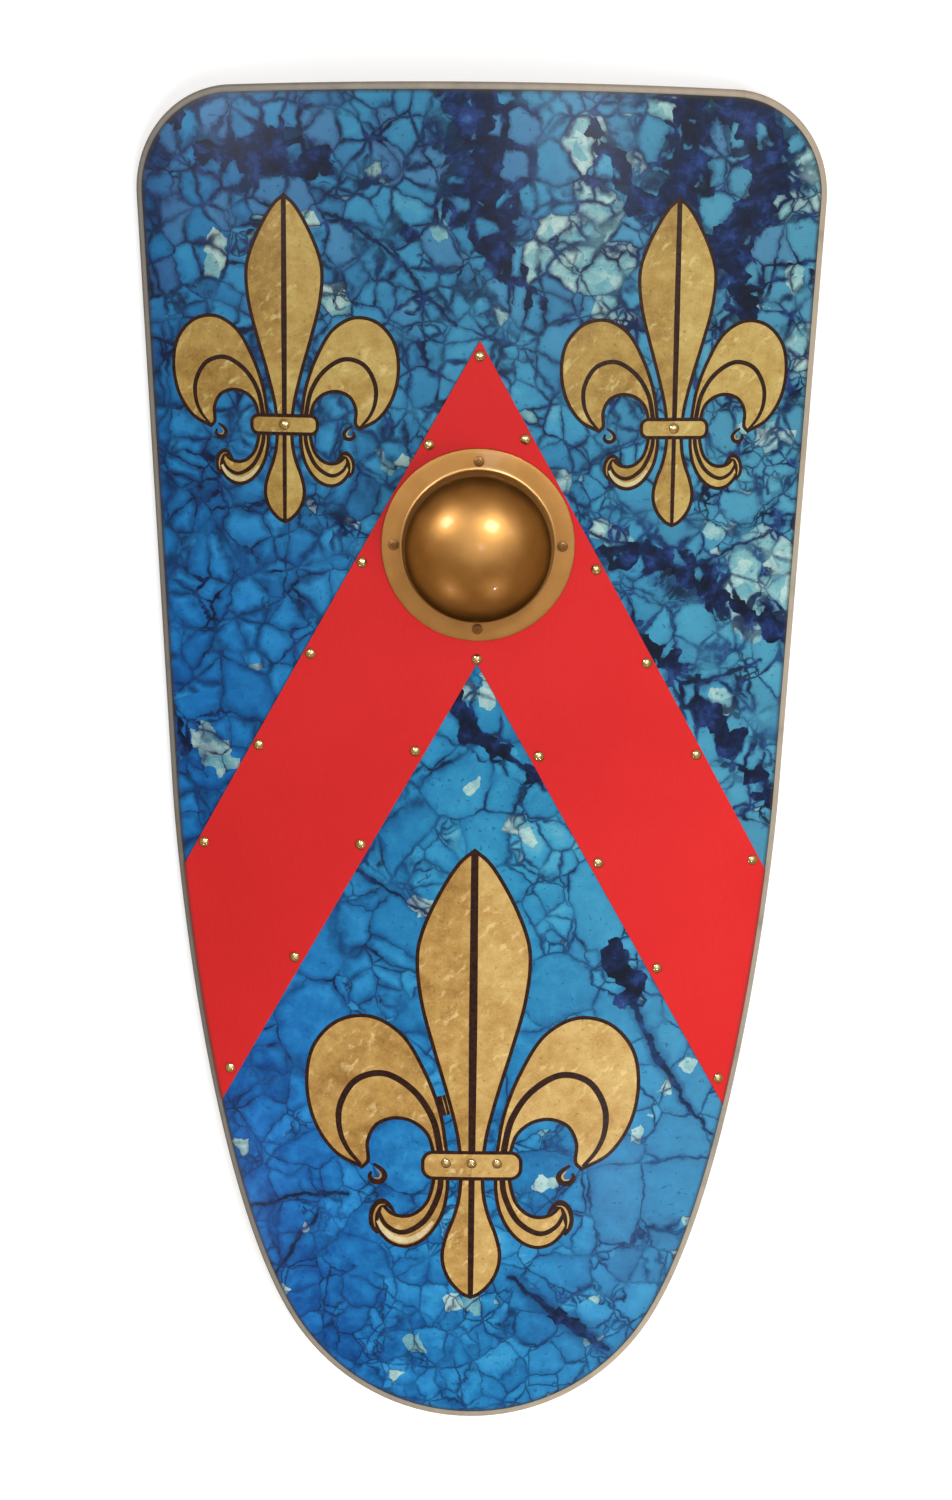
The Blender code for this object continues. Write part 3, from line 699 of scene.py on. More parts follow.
class StonePrint(Finish):
    """Glossy print of cracked blue stone: rounded stones, pale chips and black veins."""

    def __init__(self):
        super().__init__("blue_stone_print", **PRINT_SHEEN)
        self.here = self.place_in_plan()
        self.across = self.axis(self.here, "X")
        self.along = self.axis(self.here, "Y")
        self.left = 0.0 - self.across
        self.down = 0.0 - self.along
        self.rough = self.warped(self.warped(self.here, 14.0, 0.010), 100.0, 0.0040, 4.0)
        self.mottle = self.noise(self.rough, 75.0, 4.0, 0.6)
        self.grain = self.noise(self.here, 520.0, 3.0, 0.7)

        # Where broken stones crowd, where pebbles lie in soft gaps, and where the seams are weak
        self.crowded = ((self.along + 0.12).size() - 0.08).most(0.0) * 3.0 + self.left.most(0.0)
        self.pebbled = self.left.rise(0.0, 0.14) * (0.34 - self.along.size()).rise(0.0, 0.12)
        self.crumbly = self.down.rise(0.08, 0.24) * (1.0 - self.across.rise(-0.02, 0.10) * 0.7)

        self.whole = Stones(self, self.rough, 19.0)
        self.broken = Stones(self, self.rough, 40.0)
        self.small = Stones(self, self.rough, 84.0)
        self.choose_stones()
        self.break_stones()
        body = self.with_gaps(self.with_chips(self.blue()))
        self.set({"Base Color": self.rim_shaded(body, 2.3)})

    def choose_stones(self):
        """Picks the small stones that have sunk into a vein, and the large and small pale chips."""
        vein = near_runs(self, self.small.middle, VEINS)
        sinks = vein * 1.6 + 0.05 - self.broken.odd_tone.rise(0.45, 0.60) * 0.9
        self.sunk = sinks.over(self.small.odd_tone)
        self.vein = vein.rise(-1.0, 0.3)
        large = [spot for spot in PALE_SPOTS if spot[2] > LARGEST_SMALL_CHIP]
        small = [spot for spot in PALE_SPOTS if spot[2] <= LARGEST_SMALL_CHIP]
        near_large = near_spots(self, self.broken.middle, large)
        near_small = near_spots(self, self.small.middle, small)
        self.large_chips = (near_large + self.broken.tone * 0.3).over(0.12)
        small_chips = (near_small + self.small.tone * 0.3).over(0.15)
        self.chips = self.large_chips.most(small_chips) * (1.0 - self.sunk)

    def break_stones(self):
        """Breaks some whole stones, shatters some of those, and measures in from the pieces' edges."""
        self.breaks = self.whole.picked(self.crowded + 0.20 + self.vein).most(self.chips)
        weak = self.noise(self.here, 17.0, 2.0) * 1.3 + self.across * 0.45 + self.along * 0.10 - 0.52
        self.shatters = self.broken.picked(weak + self.large_chips * 0.3) * self.breaks
        edge = self.whole.edge.least(self.broken.edge + (1.0 - self.breaks) * 0.05)
        self.edge = edge.least(self.small.edge + (1.0 - self.shatters.most(self.sunk)) * 0.05)

    def tone(self):
        """Each stone's own lightness, more towards its upper left, with mottling and worn edges."""
        from_middle = self.vector("SUBTRACT", self.rough, self.broken.middle)
        lit = self.measure("DOT_PRODUCT", from_middle, (-3.0, 5.0, 0.0)) * self.breaks
        tone = self.whole.tone * 0.14 + self.broken.tone * 0.20 * self.breaks
        tone = tone + self.small.tone * 0.18 * self.shatters + lit
        tone = tone + self.mottle * (self.crumbly * 0.45 + 0.42) - self.crumbly * 0.225
        tone = tone + self.grain * 0.16 + self.edge.rise(0.0, 0.007) * 0.12

        # Lighter and darker parts of the board, among them the dark foot; painted light to the right,
        # a painted glare at the upper right, and painted shade down the upper left side
        tone = tone + self.noise(self.here, 9.0, 2.0) * 0.35 + (0.3 - self.crowded).most(0.0) * 0.25
        tone = tone + self.across * 0.35 + self.along * 0.05 + (0.15 - self.across.size()) * 0.45
        tone = tone + self.across.rise(0.12, 0.26) * self.along.rise(0.0, 0.2) * 0.12
        tone = tone + self.pebbled * 0.05 - self.down.rise(0.40, 0.52) * 0.06 - 0.07
        # Painted shade darkens the upper left side
        return tone - self.left.rise(0.235, 0.262) * self.along.rise(0.05, 0.20) * 0.18

    def blue(self):
        """The stones' blue: greener to the right, azure to the left, paled above by a painted glare,
        and part violet above.
        """
        across, along = self.across, self.along
        blue = self.tone().ramp(
            (0.10, (0.003, 0.042, 0.150)),
            (0.35, (0.007, 0.098, 0.265)),
            (0.62, (0.016, 0.195, 0.410)),
            (0.85, (0.034, 0.290, 0.530)),
            (1.00, (0.090, 0.370, 0.550)),
        )
        blue = self.mix(blue, (0.080, 0.275, 0.360), across.rise(0.02, 0.26) * 0.50)
        # Painted glare: the upper part, all but its far left, is paled towards a grey blue
        painted_glare = along.rise(0.10, 0.40) * across.rise(-0.26, -0.12)
        blue = self.mix(blue, (0.075, 0.200, 0.320), painted_glare * 0.25)
        azure = (1.0 - across.rise(-0.25, 0.04)) * (1.0 - along.rise(0.10, 0.40) * 0.6)
        blue = blue.tinted(self.mix((1.0, 1.0, 0.97), (0.58, 0.84, 1.20), azure))
        blue = blue.tinted(self.mix((0.86, 0.94, 1.10), (1.0, 1.0, 1.0), along.rise(-0.35, -0.05)))
        violet = self.broken.odd_tone.rise(0.70, 0.90) * along.rise(0.28, 0.50)
        return self.mix(blue, (0.070, 0.150, 0.340), violet * 0.45)

    def with_chips(self, body):
        """Pale chips where they were chosen and on a few of the shattered stones."""
        chips = self.chips.most((self.small.odd_tone * self.shatters).rise(0.91, 0.93))
        pale = (self.mottle * 0.9 + self.small.tone * 0.35 + self.grain * 0.3).ramp(
            (0.45, (0.070, 0.270, 0.370)), (0.72, (0.190, 0.410, 0.450)), (1.00, (0.430, 0.620, 0.600))
        )
        return self.mix(body, pale, chips * 0.9)

    def with_gaps(self, body):
        """Faint seams round all stones, and black gaps where they open, crack or have sunk."""
        opening = self.noise(self.here, 40.0, 3.0).rise(0.46, 0.78) * (self.along * 0.0022 + 0.0011)
        opening = opening + self.vein * (self.along * 0.003 + 0.0010)
        cracked = near_runs(self, self.warped(self.rough, 60.0, 0.005, 4.0), CRACKS)

        spread = self.noise(self.here, 70.0, 2.0) * 0.0036 + self.along * 0.0016 + 0.0009
        seam = 1.0 - ((self.edge - opening) / (spread + self.pebbled * 0.0030)).rise(0.0, 1.0)
        seam = seam * (self.noise(self.here, 48.0, 3.0).rise(0.38, 0.62) * 0.62
                       + self.along.size() * 0.40 + 0.17)
        seam = (seam * (1.0 - self.crumbly * 0.38)).most(cracked.rise(-1.0, 0.5) * 0.6)
        pits = self.noise(self.rough, 230.0, 2.0).rise(0.64, 0.72) * 0.5
        seam_blue = self.mix((0.004, 0.038, 0.145), (0.005, 0.022, 0.080), self.along.rise(0.10, 0.40))
        body = self.mix(body, seam_blue, seam.most(pits))

        core = 1.0 - ((self.edge - opening) / 0.0009).rise(-0.2, 1.0)
        patchy = self.noise(self.here, 30.0, 2.0).rise(0.38, 0.60) * 0.80
        core = core * (patchy + self.along.rise(0.0, 0.3) * 0.15 + 0.12).most(self.vein)
        core = core.most(self.sunk).most(cracked.rise(0.35, 0.60) * 0.9)
        gap = self.noise(self.rough, 60.0, 4.0, 0.65).ramp(
            (0.38, (0.003, 0.007, 0.020)), (0.52, (0.004, 0.014, 0.060)),
            (0.66, (0.014, 0.045, 0.190)), (0.78, (0.040, 0.110, 0.330))
        )
        return self.mix(body, gap, core)


def gold_print(name, brown, middle, light):
    """Mottled old gold, as printed, the fleurs' left halves browner than their right."""
    finish = Finish(name, **PRINT_SHEEN)
    here = finish.place_in_plan()
    side = finish.mark("gold_side")
    cloud = finish.noise(here, 26.0, 3.0, 0.5)
    patch = finish.noise(here, 90.0, 4.0, 0.65)
    grain = finish.noise(here, 480.0, 3.0, 0.7)
    value = cloud * 0.60 + patch * 0.62 + grain * 0.34 + side * 0.16 - 0.33
    leaf = value.ramp((0.26, brown), (0.50, middle), (0.76, light))

    # Pale slanted flecks and dark specks, and painted shade that makes the upper fleurs a little
    # darker and greener
    crumpled = finish.warped(here, 60.0, 0.006)
    x, y = (finish.axis(crumpled, name) for name in "XY")
    slanted = finish.add("CombineXYZ", {}, {"X": (x + y) * 60.0, "Y": (x - y) * 110.0})
    flecks = finish.noise(slanted, 1.0, 4.0, 0.6).rise(0.52, 0.68)
    flecks = flecks * finish.noise(here, 34.0).rise(0.40, 0.60)
    leaf = finish.mix(leaf, (0.76, 0.60, 0.29), flecks * 0.65)
    specks = finish.noise(here, 260.0, 2.0).rise(0.62, 0.74)
    leaf = finish.mix(leaf, tuple(0.5 * part for part in brown), specks * 0.45)
    # Painted shade: the upper fleurs are darkened and tinted a little green
    upper = finish.axis(here, "Y").rise(-0.05, 0.20)
    leaf = finish.mix(leaf, (0.86, 0.94, 0.86), upper, "MULTIPLY")
    finish.set({"Base Color": leaf})
    return finish.material


def brown_ink():
    """The dark brown lines round and in the fleurs."""
    finish = Finish("brown_ink", **PRINT_SHEEN)
    tone = finish.noise(finish.place(), 300.0, 3.0)
    finish.set({"Base Color": tone.ramp((0.3, (0.013, 0.005, 0.004)), (0.7, (0.040, 0.015, 0.009)))})
    return finish.material


def red_cloth():
    """A fine red cloth, its weave just visible."""
    finish = Finish("red_cloth", Roughness=0.70, Specular_IOR_Level=0.20, Sheen_Weight=0.04)
    here = finish.place()
    warp, weft = ((finish.axis(here, name) * (2 * pi / THREAD_PITCH)).wave() for name in "XY")
    weave = warp * weft
    patch = finish.noise(here, 7.0, 3.0)
    slub = finish.noise(finish.stretched(here, (1.0, 0.2, 1.0)), 700.0, 2.0)
    tone = weave * 0.06 + patch * 0.5 + slub * 0.22 + 0.14
    red = tone.ramp((0.25, (0.530, 0.011, 0.013)), (0.5, (0.605, 0.015, 0.017)),
                    (0.8, (0.680, 0.023, 0.024)))
    finish.set({"Base Color": finish.rim_shaded(red, 2.0),
                "Normal": finish.bump(weave + slub, 0.00008, 0.6)})
    return finish.material


def gilt_paint(name, dull):
    """Satin gold paint over steel, with painted shade round the dome's foot and a painted highlight
    ring beside it.
    """
    finish = Finish(name, Specular_Tint=(0.55, 0.30, 0.12, 1.0), Coat_IOR=1.4, Coat_Roughness=0.07)
    here = finish.place()
    cloud = finish.noise(here, 60.0, 3.0)
    ripple = finish.noise(here, 900.0, 2.0)
    gold = cloud.ramp((0.3, (0.36, 0.178, 0.045)), (0.7, (0.43, 0.220, 0.062)))
    gold = finish.mix(gold, (0.20, 0.100, 0.03), dull)

    # Rings by how far from the dome's foot they lie: painted shade at the foot, where metal and coat
    # are also turned down, a painted highlight just outside it, and a rougher flange
    from_axis = finish.vector("SUBTRACT", here, REST @ Vector((0.0, BOSS_Y, 0.0)))
    past_foot = finish.measure("LENGTH", finish.stretched(from_axis, (1.0, 1.0, 0.0))) - DOME_RADIUS
    foot = past_foot.band(-0.002, -0.0002, 0.0002, 0.0018)
    painted_highlight_ring = past_foot.band(0.0014, 0.0022, 0.0024, 0.0034)
    flange = past_foot.rise(0.002, 0.004)
    # Painted shade darkens the ring at the dome's foot; its metal and coat are turned down there too
    gold = finish.mix(gold, (0.110, 0.056, 0.018), foot * 0.70)
    # Painted highlight: the ring just outside the dome's foot is lightened
    gold = finish.mix(gold, (0.66, 0.42, 0.17), painted_highlight_ring * 0.6)
    finish.set({"Base Color": gold, "Metallic": 1.0 - foot * 0.85, "Coat Weight": 0.35 - foot * 0.33,
                "Roughness": cloud * 0.06 + foot * 0.25 + flange * 0.10 + dull * 0.2 + 0.37,
                "Normal": finish.bump(ripple, 0.00002, 0.5)})
    return finish.material


def polished_brass():
    """Bright brass nails, lightly scuffed."""
    finish = Finish("polished_brass", Metallic=1.0)
    tarnish = finish.noise(finish.place(), 260.0, 3.0)
    brass = tarnish.ramp((0.3, (0.60, 0.46, 0.22)), (0.7, (0.78, 0.64, 0.36)))
    finish.set({"Base Color": brass, "Roughness": tarnish * 0.12 + 0.12})
    return finish.material


def board_depth(finish, here):
    """How far behind the board's front a point lies: its frame is turned and lifted by REST."""
    across, along, up = (finish.axis(here, name) for name in "XYZ")
    axis_line = REST @ Vector((0.0, 0.0, -BOW_RADIUS))
    slope = tan(asin(REST[2][1]))
    rise = up - axis_line.z - (along - axis_line.y) * slope
    squared = across * across + rise * rise
    return BOW_RADIUS - squared.math("SQRT", squared)


def plywood():
    """Birch plywood: pale veneer faces and dark glue lines between the plies of its edge."""
    finish = Finish("birch_plywood", Roughness=0.58)
    here = finish.place()
    grained = finish.stretched(finish.warped(here, 5.0, 0.02), (34.0, 1.6, 34.0))
    grain = finish.noise(grained, 3.0, 5.0, 0.6)
    fine = finish.noise(finish.stretched(here, (500.0, 14.0, 500.0)), 1.0, 3.0)
    veneer = (grain * 0.7 + fine * 0.3).ramp(
        (0.34, (0.33, 0.22, 0.12)), (0.5, (0.47, 0.345, 0.21)), (0.64, (0.58, 0.45, 0.30))
    )
    depth = board_depth(finish, here)
    ply = (depth * (2 * pi / PLY_PITCH)).wave()
    edge_fibres = finish.noise(finish.stretched(here, (90.0, 90.0, 700.0)), 4.0, 3.0)
    cut = (ply * 0.5 + 0.5 + (edge_fibres - 0.5) * 0.5).ramp(
        (0.12, (0.17, 0.115, 0.065)), (0.35, (0.36, 0.275, 0.175)), (0.9, (0.47, 0.375, 0.255))
    )
    wood = finish.mix(veneer, cut, depth.band(0.0006, 0.0012, 0.0068, 0.0074))

    # The rim is worn grey with grime in patches, and painted paler to the right and at the foot and
    # darker to the left, as light falls on it
    along = finish.axis(here, "Y")
    # Worn grey tone, with painted light that rises to the right and towards the foot
    worn_and_lit = finish.axis(here, "X") * 1.1 + along * 0.25 + grain * 0.3 + 0.27
    worn_and_lit = worn_and_lit + (0.0 - along).rise(0.30, 0.52) * 0.40
    worn_and_lit = worn_and_lit.ramp((0.1, (0.145, 0.155, 0.158)), (0.45, (0.230, 0.224, 0.202)),
                     (0.9, (0.410, 0.350, 0.268)))
    in_front = 1.0 - depth.rise(0.0066, 0.0074)
    wood = finish.mix(wood, worn_and_lit, in_front * 0.9)
    grime = finish.noise(here, 40.0, 4.0).rise(0.50, 0.75) * in_front
    wood = finish.mix(wood, (0.11, 0.11, 0.095), grime * 0.45)
    finish.set({"Base Color": wood, "Normal": finish.bump(grain + fine, 0.0002, 0.35)})
    return finish.material


def ash_wood():
    """Oiled ash with its open grain running along the grip."""
    finish = Finish("oiled_ash", Roughness=0.45, Coat_Weight=0.15, Coat_Roughness=0.35)
    here = finish.warped(finish.place(), 9.0, 0.004)
    rings = finish.noise(finish.stretched(here, (5.0, 120.0, 120.0)), 1.4, 4.0, 0.6)
    pores = finish.noise(finish.stretched(here, (60.0, 1400.0, 1400.0)), 1.0, 2.0)
    tone = rings * 0.8 + pores * 0.2
    wood = tone.ramp((0.35, (0.30, 0.165, 0.075)), (0.5, (0.46, 0.29, 0.15)),
                     (0.68, (0.60, 0.42, 0.24)))
    finish.set({"Base Color": wood, "Normal": finish.bump(tone, 0.0003, 0.4)})
    return finish.material


def zinc():
    """Dull zinc plating on the grip's screws."""
    finish = Finish("zinc_plate", Metallic=1.0)
    tone = finish.noise(finish.place(), 400.0, 3.0)
    finish.set({"Base Color": tone.ramp((0.3, (0.42, 0.43, 0.42)), (0.7, (0.60, 0.61, 0.60))),
                "Roughness": tone * 0.2 + 0.25})
    return finish.material


# The fleurs' drawing, in millimetres to the right of and over the lower fleur's clasp

PETAL = ((0, 270), (12, 259.5), (31.5, 227), (44.2, 194), (46.2, 175), (42.4, 141), (31.7, 100),
         (20.4, 61), (12.2, 27.5), (9.4, 8))
LOBE_OUTER = ((20.4, 8), (26.3, 44.5), (39, 80), (59.3, 113.5), (85, 127.8), (111.4, 123),
              (131.7, 101), (137.8, 70), (131.3, 35), (113.9, 9), (91.5, -3.5))
LOBE_INNER = ((91.5, -3.5), (86.6, 2), (87, 18), (83.5, 28.5), (77.8, 35.6), (64, 40.6),
              (49, 37.6), (37, 27), (31, 8))
LOBE_LINE = ((25.5, 8), (32.9, 41), (49.6, 65.6), (73.7, 79), (96.3, 72.5), (109.8, 50),
             (110, 28), (103.5, 12), (92.5, -1.5))
CURL_OUTER = ((19.8, -8), (20.5, -24.5), (24.2, -42), (33, -58.5), (44.5, -69), (56, -72.4),
              (67, -69.5), (75.8, -61), (80, -53.5))
CURL_INNER = ((75, -35), (67, -43.2), (57, -45.8), (47, -43), (37.3, -33), (32.2, -17), (31, -8))
CURL_LINE = ((25.4, -8), (27.1, -24.5), (39.5, -49.7), (58, -60.2), (71, -54.1), (78, -41.5))
CURL_HOOK = ((63.5, -43.6), (68.5, -36.5), (74.5, -33.2), (80.2, -38), (82.6, -47), (81.4, -56),
             (77.5, -61.5))
HOOK_GLEAM = ((71.5, -35.8), (76.3, -36.5), (80, -42), (81.3, -49), (80.3, -56))
CURL_STREAK = ((78.2, -50.5), (73, -58.8), (64.5, -65.2), (53.5, -66.8), (42, -61.5), (32, -50))
FOOT = ((8.6, -8), (10.4, -28.6), (14.3, -44.6), (20.3, -61), (23.9, -77), (22.8, -90),
        (17, -103), (7, -113.6), (0, -117))
STRAY_HOOK = ((82, -0.3), (75, -5), (72.2, -10.5), (75, -15), (80.8, -16), (85, -12), (83.8, -7))
STRAY_GLEAM = ((79, -5), (75.3, -9.5), (77.2, -13), (81.5, -12.6))
TIE_MARK = ((-23.6, 61.5), (-21.3, 52.9), (-19.2, 44.5))
TIE_WIDTHS = (12.0, 14.0, 12.0)
TIE_STREAKS = (-1.9, 1.4)
TIE_STREAK_WIDTHS = (0.2, 0.9, 0.2)
PETAL_RIB = (268, 8)
PETAL_RIB_WIDTHS = (6.0, 7.0, 5.6)
FOOT_RIB = (-8, -116)
FOOT_RIB_WIDTHS = (5.2, 5.2, 4.2)
RIB_STEPS = 10
CLASP_HALF_LENGTH = 42.3
CLASP_HALF_HEIGHT = 13.0
CLASP_CORNER = 10.5
CLASP_CORNER_STEPS = 8
OUTLINE_WIDTH = 3.1
UPPER_OUTLINE_WIDTH = 0.90 * OUTLINE_WIDTH
MILLIMETRE = 0.001

# What fills an outline: the number of its material on the facing
STONE, GOLD, INK, PALE_GOLD = 0, 1, 2, 3

# Strokes over the shapes, from the bottom up: the line, the widths along it and what fills it
LOBE_STROKES = (
    (LOBE_LINE, (5.6, 5.4, 5.4, 5.2, 3.0), INK),
    (STRAY_HOOK, (2.6, 4.2, 5.0, 4.4, 1.6), INK),
    (STRAY_GLEAM, (0.4, 1.7, 0.4), GOLD),
)
CURL_STROKES = (
    (CURL_LINE, (5.0, 5.0, 4.6, 3.0), INK),
    (CURL_HOOK, (2.0, 5.4, 6.6, 6.4, 3.0), INK),
    (HOOK_GLEAM, (0.4, 1.8, 1.6, 0.4), GOLD),
)
LEFT_CURL_STROKES = ((CURL_STREAK, (2.5, 5.0, 5.0, 4.6, 2.0), PALE_GOLD), *CURL_STROKES)


def clasp_outline(grown):
    """The clasp's rounded bar, clockwise from its upper left, grown by some millimetres."""
    corner = CLASP_CORNER + grown
    reach_x = CLASP_HALF_LENGTH - CLASP_CORNER
    reach_y = CLASP_HALF_HEIGHT - CLASP_CORNER
    points = []
    for x, y, start in ((-1, 1, pi), (1, 1, pi / 2), (1, -1, 0.0), (-1, -1, -pi / 2)):
        centre = Vector((x * reach_x, y * reach_y))
        for step in range(CLASP_CORNER_STEPS + 1):
            angle = start - pi / 2 * step / CLASP_CORNER_STEPS
            points.append(centre + corner * Vector((cos(angle), sin(angle))))
    return points


def stroke(line, widths):
    """The outline of a drawn line whose width eases between a few widths along it."""
    places = [len(line) * i / (len(widths) - 1) for i in range(len(widths))]
    halves = [float(np.interp(i, places, widths)) / 2 for i in range(len(line))]
    left = moved_out(line, halves, closed=False)
    right = moved_out(line, [-half for half in halves], closed=False)
    return left + right[::-1]


class Fleur:
    """One fleur's closed outlines, from the bottom layer up, each with what it is filled with."""

    def __init__(self, clasp, size, line_width, tied=False):
        self.clasp = clasp
        self.size = size * MILLIMETRE
        self.line_width = line_width / size
        self.layers = []
        if tied:
            self.tie()
        for side in (-1, 1):
            self.curl(side)
            self.lobe(side)
        self.petal()
        self.foot()
        self.fill(clasp_outline(0.0), INK)
        self.fill(clasp_outline(-self.line_width), GOLD)

    def line(self, points, side=1):
        step = CURVE_STEP / self.size
        return smooth_line([Vector((side * x, y)) for x, y in points], step)

    def fill(self, outline, mark):
        placed = [self.clasp + point * self.size for point in outline]
        self.layers.append((placed, mark))

    def shape(self, outline, side=1):
        """A gold shape with its ink outline, from a clockwise outline of the right side."""
        turned = outline if side > 0 else outline[::-1]
        self.fill(moved_out(turned, self.line_width * 0.5), INK)
        self.fill(moved_out(turned, -self.line_width * 0.5), GOLD)

    def strokes(self, drawn, side=1):
        for points, widths, mark in drawn:
            self.fill(stroke(self.line(points, side), widths), mark)

    def rib(self, ends, widths):
        """The straight ink line down the middle of a petal or foot."""
        first, last = ends
        line = [Vector((0, first + (last - first) * i / RIB_STEPS)) for i in range(RIB_STEPS + 1)]
        self.fill(stroke(line, widths), INK)

    def tie(self):
        """The brown mark that bridges the gap left of the lower petal, with its pale streaks."""
        self.strokes([(TIE_MARK, TIE_WIDTHS, INK)])
        for shift in TIE_STREAKS:
            streak = [(x + shift, y) for x, y in TIE_MARK]
            self.strokes([(streak, TIE_STREAK_WIDTHS, GOLD)])

    def lobe(self, side):
        outer = self.line(LOBE_OUTER, side)
        inner = self.line(LOBE_INNER, side)
        self.shape(outer + inner[1:], side)
        self.strokes(LOBE_STROKES, side)

    def curl(self, side):
        outer = self.line(CURL_OUTER, side)
        inner = self.line(CURL_INNER, side)
        self.shape(outer[::-1] + inner[::-1], side)
        self.strokes(LEFT_CURL_STROKES if side < 0 else CURL_STROKES, side)

    def petal(self):
        half = self.line(PETAL)
        left = [Vector((-p.x, p.y)) for p in half[:0:-1]]
        self.shape(half + left)
        self.rib(PETAL_RIB, PETAL_RIB_WIDTHS)

    def foot(self):
        half = self.line(FOOT)
        left = [Vector((-p.x, p.y)) for p in half[-2::-1]]
        self.shape(half + left)
        self.rib(FOOT_RIB, FOOT_RIB_WIDTHS)


def fleurs():
    """The three fleurs, the lower one first."""
    upper = [Fleur(clasp, UPPER_FLEUR_SIZE, UPPER_OUTLINE_WIDTH) for clasp in UPPER_CLASPS]
    return [Fleur(LOWER_CLASP, 1.0, OUTLINE_WIDTH, tied=True), *upper]


# Pieces

def hand_hole(radius=HAND_HOLE_RADIUS):
    """The hand hole's outline on the flat: it is round as seen along the boss's axis."""
    points = arc(Vector((0.0, 0.0)), radius, 0.0, 2 * pi)[:-1]
    return [Vector((asin(p.x / BOW_RADIUS) * BOW_RADIUS, BOSS_Y + p.y)) for p in points[::-1]]


def rounded_edge(front, back, rounding, steps=6):
    """A side that bulges by its rounding: how far out and how high, front to back."""
    upper = [(rounding * sin(pi / 2 * i / steps), front - rounding * (1 - cos(pi / 2 * i / steps)))
             for i in range(steps + 1)]
    lower = [(out, front + back - w) for out, w in reversed(upper)]
    return upper + lower


def make_board():
    """The bowed plywood with its rounded edges and its hand hole."""
    outline = board_outline(BOARD_ROUNDING)
    edge = rounded_edge(0.0, BOARD_BACK, BOARD_ROUNDING)
    board = plate("plywood_board", outline, [hand_hole(HAND_HOLE_RADIUS + BOARD_ROUNDING)], [], edge)
    dress(board, "board", "plywood", plywood())


def make_facing():
    """The thin printed sheet: its mesh follows the fleurs' outlines, each filled with its print."""
    drawn = fleurs()
    layers = [layer for fleur in drawn for layer in fleur.layers]

    def region(middles):
        marks = np.full(len(middles), STONE)
        for outline, mark in layers:
            marks[inside(middles, outline)] = mark
        return marks

    edge = rounded_edge(FACING_FRONT, FACING_BACK, FACING_ROUNDING, steps=1)
    lines = [outline for outline, _ in layers] + [board_outline(RIM_SHADE_WIDTH)]
    facing = plate("stone_facing", board_outline(BARE_RIM), [hand_hole()], lines, edge, region)
    gold = gold_print("old_gold_print", (0.28, 0.150, 0.040), (0.45, 0.280, 0.086),
                      (0.58, 0.415, 0.160))
    pale = gold_print("pale_gold_print", (0.46, 0.36, 0.20), (0.62, 0.54, 0.35), (0.76, 0.71, 0.52))
    dress(facing, "printed_facing", "printed_face", StonePrint().material, gold, brown_ink(), pale)
    mark_gold_sides(facing.data, drawn)
    mark_near_rim(facing.data)
    hide_from_boss(facing)


def hide_from_boss(piece):
    """Keeps a piece out of the polished boss, which mirrors the studio alone."""
    piece.visible_glossy = False


def mark_near_rim(mesh):
    """Marks each point with how near the board's rim it lies: 1 on the rim, 0 well inside."""
    rim = columns(board_outline(0.0))
    spots = [REST.inverted() @ vertex.co for vertex in mesh.vertices]
    flat = np.array([(atan2(s.x, s.z + BOW_RADIUS) * BOW_RADIUS, s.y) for s in spots])
    nearest = np.full(len(flat), 1.0)
    for start, end in zip(rim, np.roll(rim, -1, axis=0)):
        along = end - start
        share = np.clip((flat - start) @ along / (along @ along), 0.0, 1.0)
        away = np.linalg.norm(flat - start - share[:, None] * along, axis=1)
        nearest = np.minimum(nearest, away)
    marks = mesh.attributes.new("near_rim", "FLOAT", "POINT")
    marks.data.foreach_set("value", np.clip(1.0 - nearest / RIM_SHADE_WIDTH, 0.0, 1.0))


def mark_gold_sides(mesh, drawn):
    """Marks each face of a fleur's right half with 1 and of its left half with 0."""
    sides = mesh.attributes.new("gold_side", "FLOAT", "FACE")
    for polygon, value in zip(mesh.polygons, sides.data):
        middle = polygon.center
        nearest = min(drawn, key=lambda fleur: hypot(middle.x - fleur.clasp.x,
                                                     middle.y - fleur.clasp.y))
        value.value = 1.0 if middle.x > nearest.clasp.x else 0.0


def chevron_outline():
    """The band: its point, its feet along the facing's sides, and its notch."""
    rim = board_outline(BARE_RIM)[:len(half_outline())]

    def crossing(point_y):
        slope = tan(CHEVRON_HALF_ANGLE)
        for index in range(TOP_STEPS, len(rim)):
            over = rim[index - 1].x - (point_y - rim[index - 1].y) * slope
            under = rim[index].x - (point_y - rim[index].y) * slope
            if over > 0.0 >= under:
                return rim[index - 1].lerp(rim[index], over / (over - under)), index

    outer_end, first = crossing(CHEVRON_POINT_Y)
    inner_end, last = crossing(CHEVRON_NOTCH_Y)
    half = [Vector((0.0, CHEVRON_POINT_Y)), outer_end, *rim[first:last], inner_end,
            Vector((0.0, CHEVRON_NOTCH_Y))]
    return mirrored(half)


def flat_area(outline):
    """The area inside a clockwise outline."""
    pairs = zip(outline, outline[1:] + outline[:1])
    return sum(b.x * a.y - a.x * b.y for a, b in pairs) / 2


def make_chevron():
    """The red cloth band, cut to the chevron's outline; its flat area is worked out and not used."""
    cut = chevron_outline()
    edge = rounded_edge(BAND_FRONT, BAND_BACK, BAND_ROUNDING, steps=3)
    outline = moved_out(cut, -BAND_ROUNDING)
    band = plate("red_band", outline, [hand_hole()], [board_outline(RIM_SHADE_WIDTH)], edge)
    mark_near_rim(band.data)
    hide_from_boss(band)
    dress(band, "chevron", "red_cloth", red_cloth())
    area = flat_area(cut) - flat_area(hand_hole())


